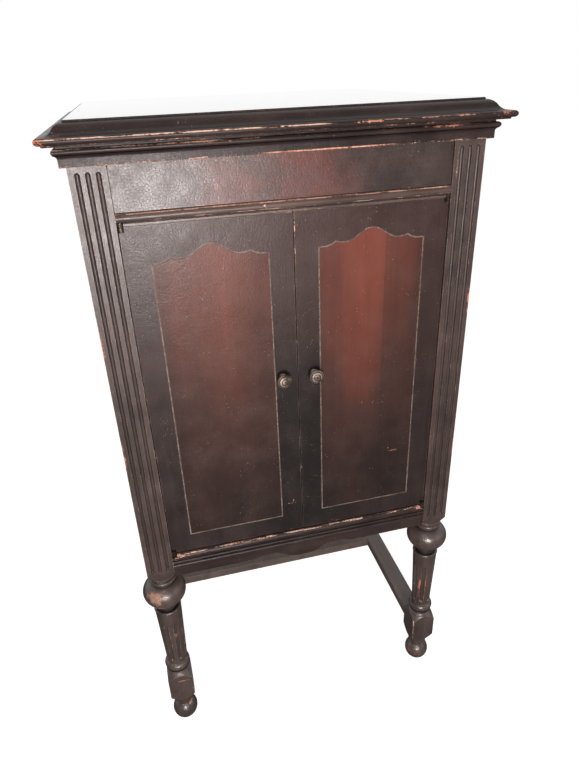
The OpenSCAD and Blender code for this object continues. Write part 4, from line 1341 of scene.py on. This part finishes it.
@dataclass
class Fittings:
    """Metal, cloth and motor pieces, dressed as the frame has them."""

    finishes: Finishes
    by_slot: dict[str, str] = field(
        default_factory=lambda: {
            "dark_mahogany": "dark_upright",
            "red_mahogany": "deck_wood",
            "plain_wood": "board_wood",
            "brass": "brass",
            "nickel_plate": "nickel",
            "steel": "steel",
            "grille_cloth": "grille_cloth",
            "felt": "felt",
            "mica": "mica_sheet",
        }
    )
    by_node: dict[str, str] = field(
        default_factory=lambda: {
            "left_knob": "knob_metal",
            "right_knob": "knob_metal",
            "door_pivot_brackets": "dark_brass",
            "left_door_pivots": "dark_brass",
            "right_door_pivots": "dark_brass",
        }
    )

    def build(self, frame: dict) -> None:
        """Dresses every node that is still shown.
        """
        for node, slot in slots_of(frame).items():
            piece = frame["nodes"][node]
            finish = self.by_node.get(node, self.by_slot[slot])
            dress(piece, self.finishes[finish])
            for face in piece.data.polygons:
                face.material_index = 0
            log.info("%s: %s", node, finish)


@dataclass(frozen=True)
class Screw:
    """Place, outward direction and head radius of one screw."""

    place: tuple[float, float, float]
    out: tuple[float, float, float]
    radius: float = 0.0027


class ScrewTree:
    """Geometry Nodes tree that puts a slotted head on every point of a mesh."""

    def __init__(self) -> None:
        """Builds the tree."""
        self.tree = bpy.data.node_groups.new("screw_heads", "GeometryNodeTree")
        face = self.tree.interface
        face.new_socket("Points", in_out="INPUT", socket_type="NodeSocketGeometry")
        self.sockets = {
            name: face.new_socket(name, in_out="INPUT", socket_type=kind).identifier
            for name, kind in (
                ("Head Height", "NodeSocketFloat"),
                ("Slot Width", "NodeSocketFloat"),
                ("Seed", "NodeSocketInt"),
                ("Metal", "NodeSocketMaterial"),
            )
        }
        face.new_socket("Screws", in_out="OUTPUT", socket_type="NodeSocketGeometry")
        given = self.add("NodeGroupInput").outputs
        head = self.head(given["Head Height"], given["Slot Width"])
        turn = self.directions(given["Seed"])
        size = self.attribute("size", "FLOAT")
        heads = {"Points": given["Points"], "Instance": head, "Rotation": turn, "Scale": size}
        placed = self.add("GeometryNodeInstanceOnPoints", {}, heads)
        real = self.add("GeometryNodeRealizeInstances", {}, {0: placed.outputs[0]})
        finish = {"Geometry": real.outputs[0], "Material": given["Metal"]}
        dressed = self.add("GeometryNodeSetMaterial", {}, finish)
        self.add("NodeGroupOutput", {}, {0: dressed.outputs[0]})

    def add(self, kind: str, settings: dict | None = None, values: dict | None = None) -> bpy.types.Node:
        """Adds a node to this tree.

        Args:
            kind: The node's type.
            settings: Its settings.
            values: What its inputs hold.

        Returns:
            The node.
        """
        return add_node(self.tree, kind, settings, values)

    def attribute(self, name: str, kind: str) -> bpy.types.NodeSocket:
        """Reads a named attribute of the points."""
        return self.add("GeometryNodeInputNamedAttribute", {"data_type": kind}, {"Name": name}).outputs[0]

    def head(self, height: bpy.types.NodeSocket, slot: bpy.types.NodeSocket) -> bpy.types.NodeSocket:
        """A slotted head of radius 1.

        Args:
            height: The head's height.
            slot: The slot's width.

        Returns:
            The head's geometry.
        """
        disc = self.add("GeometryNodeMeshCylinder", {}, {"Vertices": 20, "Radius": 1.0, "Depth": height})
        across = self.add("ShaderNodeCombineXYZ", {}, {0: 2.4, 1: slot, 2: height})
        bar = self.add("GeometryNodeMeshCube", {}, {"Size": across.outputs[0]})
        lift = self.add("ShaderNodeCombineXYZ", {}, {2: height})
        raised = self.add("ShaderNodeVectorMath", {"operation": "SCALE"}, {0: lift.outputs[0], "Scale": 0.7})
        shifted = {"Geometry": bar.outputs[0], "Translation": raised.outputs[0]}
        moved = self.add("GeometryNodeTransform", {}, shifted)
        pair = {0: disc.outputs[0], 1: moved.outputs[0]}
        return self.add("GeometryNodeMeshBoolean", {"operation": "DIFFERENCE"}, pair).outputs[0]

    def directions(self, seed: bpy.types.NodeSocket) -> bpy.types.NodeSocket:
        """Turns each head outwards, with its slot at a random angle.

        Args:
            seed: Seed of the angles.

        Returns:
            The rotation.
        """
        facing = self.attribute("out", "FLOAT_VECTOR")
        outward = self.add("FunctionNodeAlignRotationToVector", {"axis": "Z"}, {"Vector": facing})
        angle = self.add("FunctionNodeRandomValue", {"data_type": "FLOAT"}, {"Seed": seed, 3: math.pi})
        about = {"Axis": (0.0, 0.0, 1.0), "Angle": angle.outputs[1]}
        turn = self.add("FunctionNodeAxisAngleToRotation", {}, about)
        both = {"Rotation": outward.outputs[0], "Rotate By": turn.outputs[0]}
        return self.add("FunctionNodeRotateRotation", {"rotation_space": "LOCAL"}, both).outputs[0]


@dataclass
class Screws:
    """Screws that hold hinges, back panel, grille and fittings."""

    finishes: Finishes
    head_height: float = 0.5
    slot_width: float = 0.24
    seed: int = 7

    @staticmethod
    def ring(radius: float, start: float) -> list[tuple[float, float]]:
        """Three places evenly round a circle.

        Args:
            radius: The circle's radius.
            start: Where the first place lies, in half turns.

        Returns:
            The two coordinates of each place.
        """
        turns = [math.pi * (start + step * 2.0 / 3.0) for step in range(3)]
        return [(radius * math.cos(turn), radius * math.sin(turn)) for turn in turns]

    @staticmethod
    def of_leaves(height: float) -> list[Screw]:
        """Screws of a pair of hinge leaves.

        Args:
            height: Height of the screws above the floor.

        Returns:
            The screws.
        """
        places = [side * HINGE_X + step for side in (-1, 1) for step in LEAF_STEPS]
        return [Screw((x, BACK_Y + LEAF_T, height), (0, 1, 0)) for x in places]

    def of_case(self) -> list[Screw]:
        """Screws of the case, its hinges and its deck.

        Returns:
            The screws.
        """
        # Six screws up each side of the back panel, and three along its bottom and its top
        sides = [(side * 0.238, 0.445 + step * 0.138) for side in (-1, 1) for step in range(6)]
        ends = [(x, z) for x in (-0.12, 0.0, 0.12) for z in (0.436, 1.144)]
        back = [Screw((x, BACK_FACE_Y, z), (0, 1, 0)) for x, z in sides + ends]
        # One in each corner of the grille board
        grille = [
            Screw((x, GRILLE_Y, z), (0, -1, 0), 0.0024) for x in (-0.236, 0.236) for z in (0.769, 1.013)
        ]
        # Three round the crank plate, and three round the flange under the tone arm
        plate = [
            Screw((CRANK_PLATE_X, CRANK_Y + y, CRANK_Z + z), (1, 0, 0), 0.0022)
            for y, z in self.ring(0.0135, 0.5)
        ]
        flange = [
            Screw((ARM_X + x, ARM_Y + y, DECK_Z + 0.0055), (0, 0, 1), 0.0026)
            for x, y in self.ring(0.036, 0.2)
        ]
        # Two along the front of the motor board, one at each side and two along its back
        rim = ((-0.14, -0.246), (0.10, -0.246), (-0.262, 0.03), (0.262, 0.03), (-0.23, 0.262), (0.05, 0.262))
        deck = [Screw((x, y, DECK_Z), (0, 0, 1), 0.0035) for x, y in rim]
        return self.of_leaves(POST_TOP + 0.0095) + back + grille + plate + flange + deck

    def of_lid(self) -> list[Screw]:
        """Screws of the hinge leaves on the lid."""
        return self.of_leaves(LID_Z0 + 0.0155)

    def make(self, tree: ScrewTree, body: str, screws: list[Screw]) -> None:
        """Makes the screws of one body as one mesh.

        Args:
            tree: The tree that makes the heads.
            body: The body that they ride on.
            screws: The screws.
        """
        mesh = bpy.data.meshes.new(f"{body}_screws")
        mesh.from_pydata([screw.place for screw in screws], [], [])
        out = mesh.attributes.new("out", "FLOAT_VECTOR", "POINT")
        out.data.foreach_set("vector", [float(part) for screw in screws for part in screw.out])
        size = mesh.attributes.new("size", "FLOAT", "POINT")
        size.data.foreach_set("value", [screw.radius for screw in screws])
        piece = bpy.data.objects.new(f"{body}_screws", mesh)
        bpy.context.scene.collection.objects.link(piece)
        nodes = piece.modifiers.new("screws", "NODES")
        nodes.node_group = tree.tree
        nodes[tree.sockets["Head Height"]] = self.head_height
        nodes[tree.sockets["Slot Width"]] = self.slot_width
        nodes[tree.sockets["Seed"]] = self.seed
        nodes[tree.sockets["Metal"]] = self.finishes["old_screw"]
        plain_mesh(piece)
        dress(piece, self.finishes["old_screw"])
        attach(piece, body)
        log.info("%s: %d screws", body, len(screws))

    def build(self, frame: dict) -> None:
        """Makes all screws.
        """
        tree = ScrewTree()
        bodies = body_of(frame)
        self.make(tree, bodies["lid_hinge_brackets"], self.of_case())
        self.make(tree, bodies["lid_hinge_leaves"], self.of_lid())


@dataclass(frozen=True)
class Lamp:
    """A soft square lamp.

    Attributes:
        name: Its name.
        place: Where it hangs.
        target: What it points at.
        side: Its side.
        power: Its power in watts.
        tint: Its colour.
    """

    name: str
    place: Triple
    target: Triple
    side: float
    power: float
    tint: Colour = (1.0, 0.95, 0.92)

    def hang(self) -> None:
        """Adds the lamp to the scene."""
        data = bpy.data.lights.new(self.name, "AREA")
        data.size = self.side
        data.color = self.tint
        data.energy = self.power
        lamp = bpy.data.objects.new(self.name, data)
        aim = (Vector(self.target) - Vector(self.place)).to_track_quat("-Z", "Y").to_matrix().to_4x4()
        lamp.matrix_world = Matrix.Translation(self.place) @ aim
        bpy.context.scene.collection.objects.link(lamp)


@dataclass
class Studio:
    """Camera, floor, backdrop and lights.

    Attributes:
        eye: Where the camera stands.
        yaw: How far it is turned to the right, in degrees.
        pitch: How far it looks down, in degrees.
        roll: How far it is tilted about its own axis, in degrees.
        lens: Its focal length in millimetres.
        film: Height of its film in millimetres.
        floor_half: Half the side of the floor.
        floor_glow: How bright the camera sees the floor.
        surroundings: Light that the surroundings give to the object.
        room: How bright reflections see the dim room behind the camera.
        lamps: The lamps.
    """

    eye: Triple = (-0.2186, -1.1567, 1.2598)
    yaw: float = 13.205
    pitch: float = 27.816
    roll: float = 2.327
    lens: float = 28.137
    film: float = 36.0
    floor_half: float = 9.0
    floor_glow: float = 0.82
    surroundings: float = 0.28
    room: float = 0.22
    lamps: tuple[Lamp, ...] = (
        Lamp("window", (-0.26, -2.2, 0.86), (-0.2, -0.3, 1.1), 0.46, 37.0, (1.0, 0.92, 0.90)),
        Lamp("ceiling", (-0.9, -1.8, 2.6), (0.0, -0.1, 0.8), 1.4, 9.0),
        Lamp("fill", (1.9, -1.4, 1.2), (0.0, 0.0, 0.6), 1.6, 6.0),
    )

    def camera(self) -> None:
        """Places the camera as the photograph was taken."""
        yaw, pitch, roll = (math.radians(angle) for angle in (self.yaw, self.pitch, self.roll))
        ahead = Vector(
            (math.sin(yaw) * math.cos(pitch), math.cos(yaw) * math.cos(pitch), -math.sin(pitch))
        )
        level = Vector((math.cos(yaw), -math.sin(yaw), 0.0))
        down = ahead.cross(level)
        right = level * math.cos(roll) + down * math.sin(roll)
        low = down * math.cos(roll) - level * math.sin(roll)
        turn = Matrix((right, -low, -ahead)).transposed().to_4x4()
        data = bpy.data.cameras.new("photo_camera")
        data.sensor_fit = "VERTICAL"
        data.sensor_height = self.film
        data.lens = self.lens
        data.clip_end = 50.0
        camera = bpy.data.objects.new("photo_camera", data)
        camera.matrix_world = Matrix.Translation(self.eye) @ turn
        bpy.context.scene.collection.objects.link(camera)
        bpy.context.scene.camera = camera

    def floor(self) -> None:
        """Lays a floor that the camera sees as white, with a soft shadow left on it."""
        sheet = MaterialSheet("studio_floor")
        rays = sheet.node("ShaderNodeLightPath").outputs
        seen = Value(sheet, rays["Is Camera Ray"]).most(Value(sheet, rays["Is Transmission Ray"]))
        mirrored = Value(sheet, rays["Is Glossy Ray"])
        colour = sheet.blend(mirrored, (0.72, 0.72, 0.72), (0.14, 0.13, 0.13))
        glow = seen * self.floor_glow
        sheet.surface(
            colour, 0.9, emission_color=(1.0, 1.0, 1.0), specular_ior_level=0.0, emission_strength=glow
        )
        mesh = bpy.data.meshes.new("studio_floor")
        far = self.floor_half
        corners = [(-far, -far, 0), (far, -far, 0), (far, far, 0), (-far, far, 0)]
        mesh.from_pydata(corners, [], [(0, 1, 2, 3)])
        floor = bpy.data.objects.new("studio_floor", mesh)
        mesh.materials.append(sheet.material)
        bpy.context.scene.collection.objects.link(floor)

    def world(self) -> None:
        """White for the camera, and for reflections of what lies behind the object."""
        world = bpy.data.worlds.new("studio_world")
        world.use_nodes = True
        tree = world.node_tree
        tree.nodes.clear()
        rays = add_node(tree, "ShaderNodeLightPath").outputs
        way = add_node(tree, "ShaderNodeTexCoord").outputs["Generated"]
        split = add_node(tree, "ShaderNodeSeparateXYZ", {}, {0: way})
        depth = {"Value": split.outputs[1], "From Min": -0.1, "From Max": 0.3, "To Min": self.room}
        behind = add_node(tree, "ShaderNodeMapRange", {}, depth)
        mirror = {"Value": rays["Is Glossy Ray"], "To Min": self.surroundings, "To Max": behind.outputs[0]}
        glossy = add_node(tree, "ShaderNodeMapRange", {}, mirror)
        view = {"Value": rays["Is Camera Ray"], "To Min": glossy.outputs[0]}
        shown = add_node(tree, "ShaderNodeMapRange", {}, view)
        light = {"Color": (1.0, 1.0, 1.0), "Strength": shown.outputs[0]}
        back = add_node(tree, "ShaderNodeBackground", {}, light)
        add_node(tree, "ShaderNodeOutputWorld", {}, {"Surface": back.outputs[0]})
        bpy.context.scene.world = world

    def build(self) -> None:
        """Sets up camera, floor, world and lamps."""
        self.camera()
        self.floor()
        self.world()
        for lamp in self.lamps:
            lamp.hang()
        bpy.context.scene.view_settings.view_transform = "Standard"


def main() -> None:
    """Builds the scene in order and reports each group."""
    logging.basicConfig(level=logging.INFO, format="%(name)s: %(message)s")
    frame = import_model()
    Studio().build()
    log.info("studio ready")
    finishes = Finishes()
    log.info("finishes ready: %d", len(finishes.made))
    for group in (Fittings(finishes), CaseWork(finishes), Legs(finishes), Doors(finishes), Screws(finishes)):
        group.build(frame)
        log.info("%s ready", type(group).__name__)


if __name__ == "__main__":
    main()
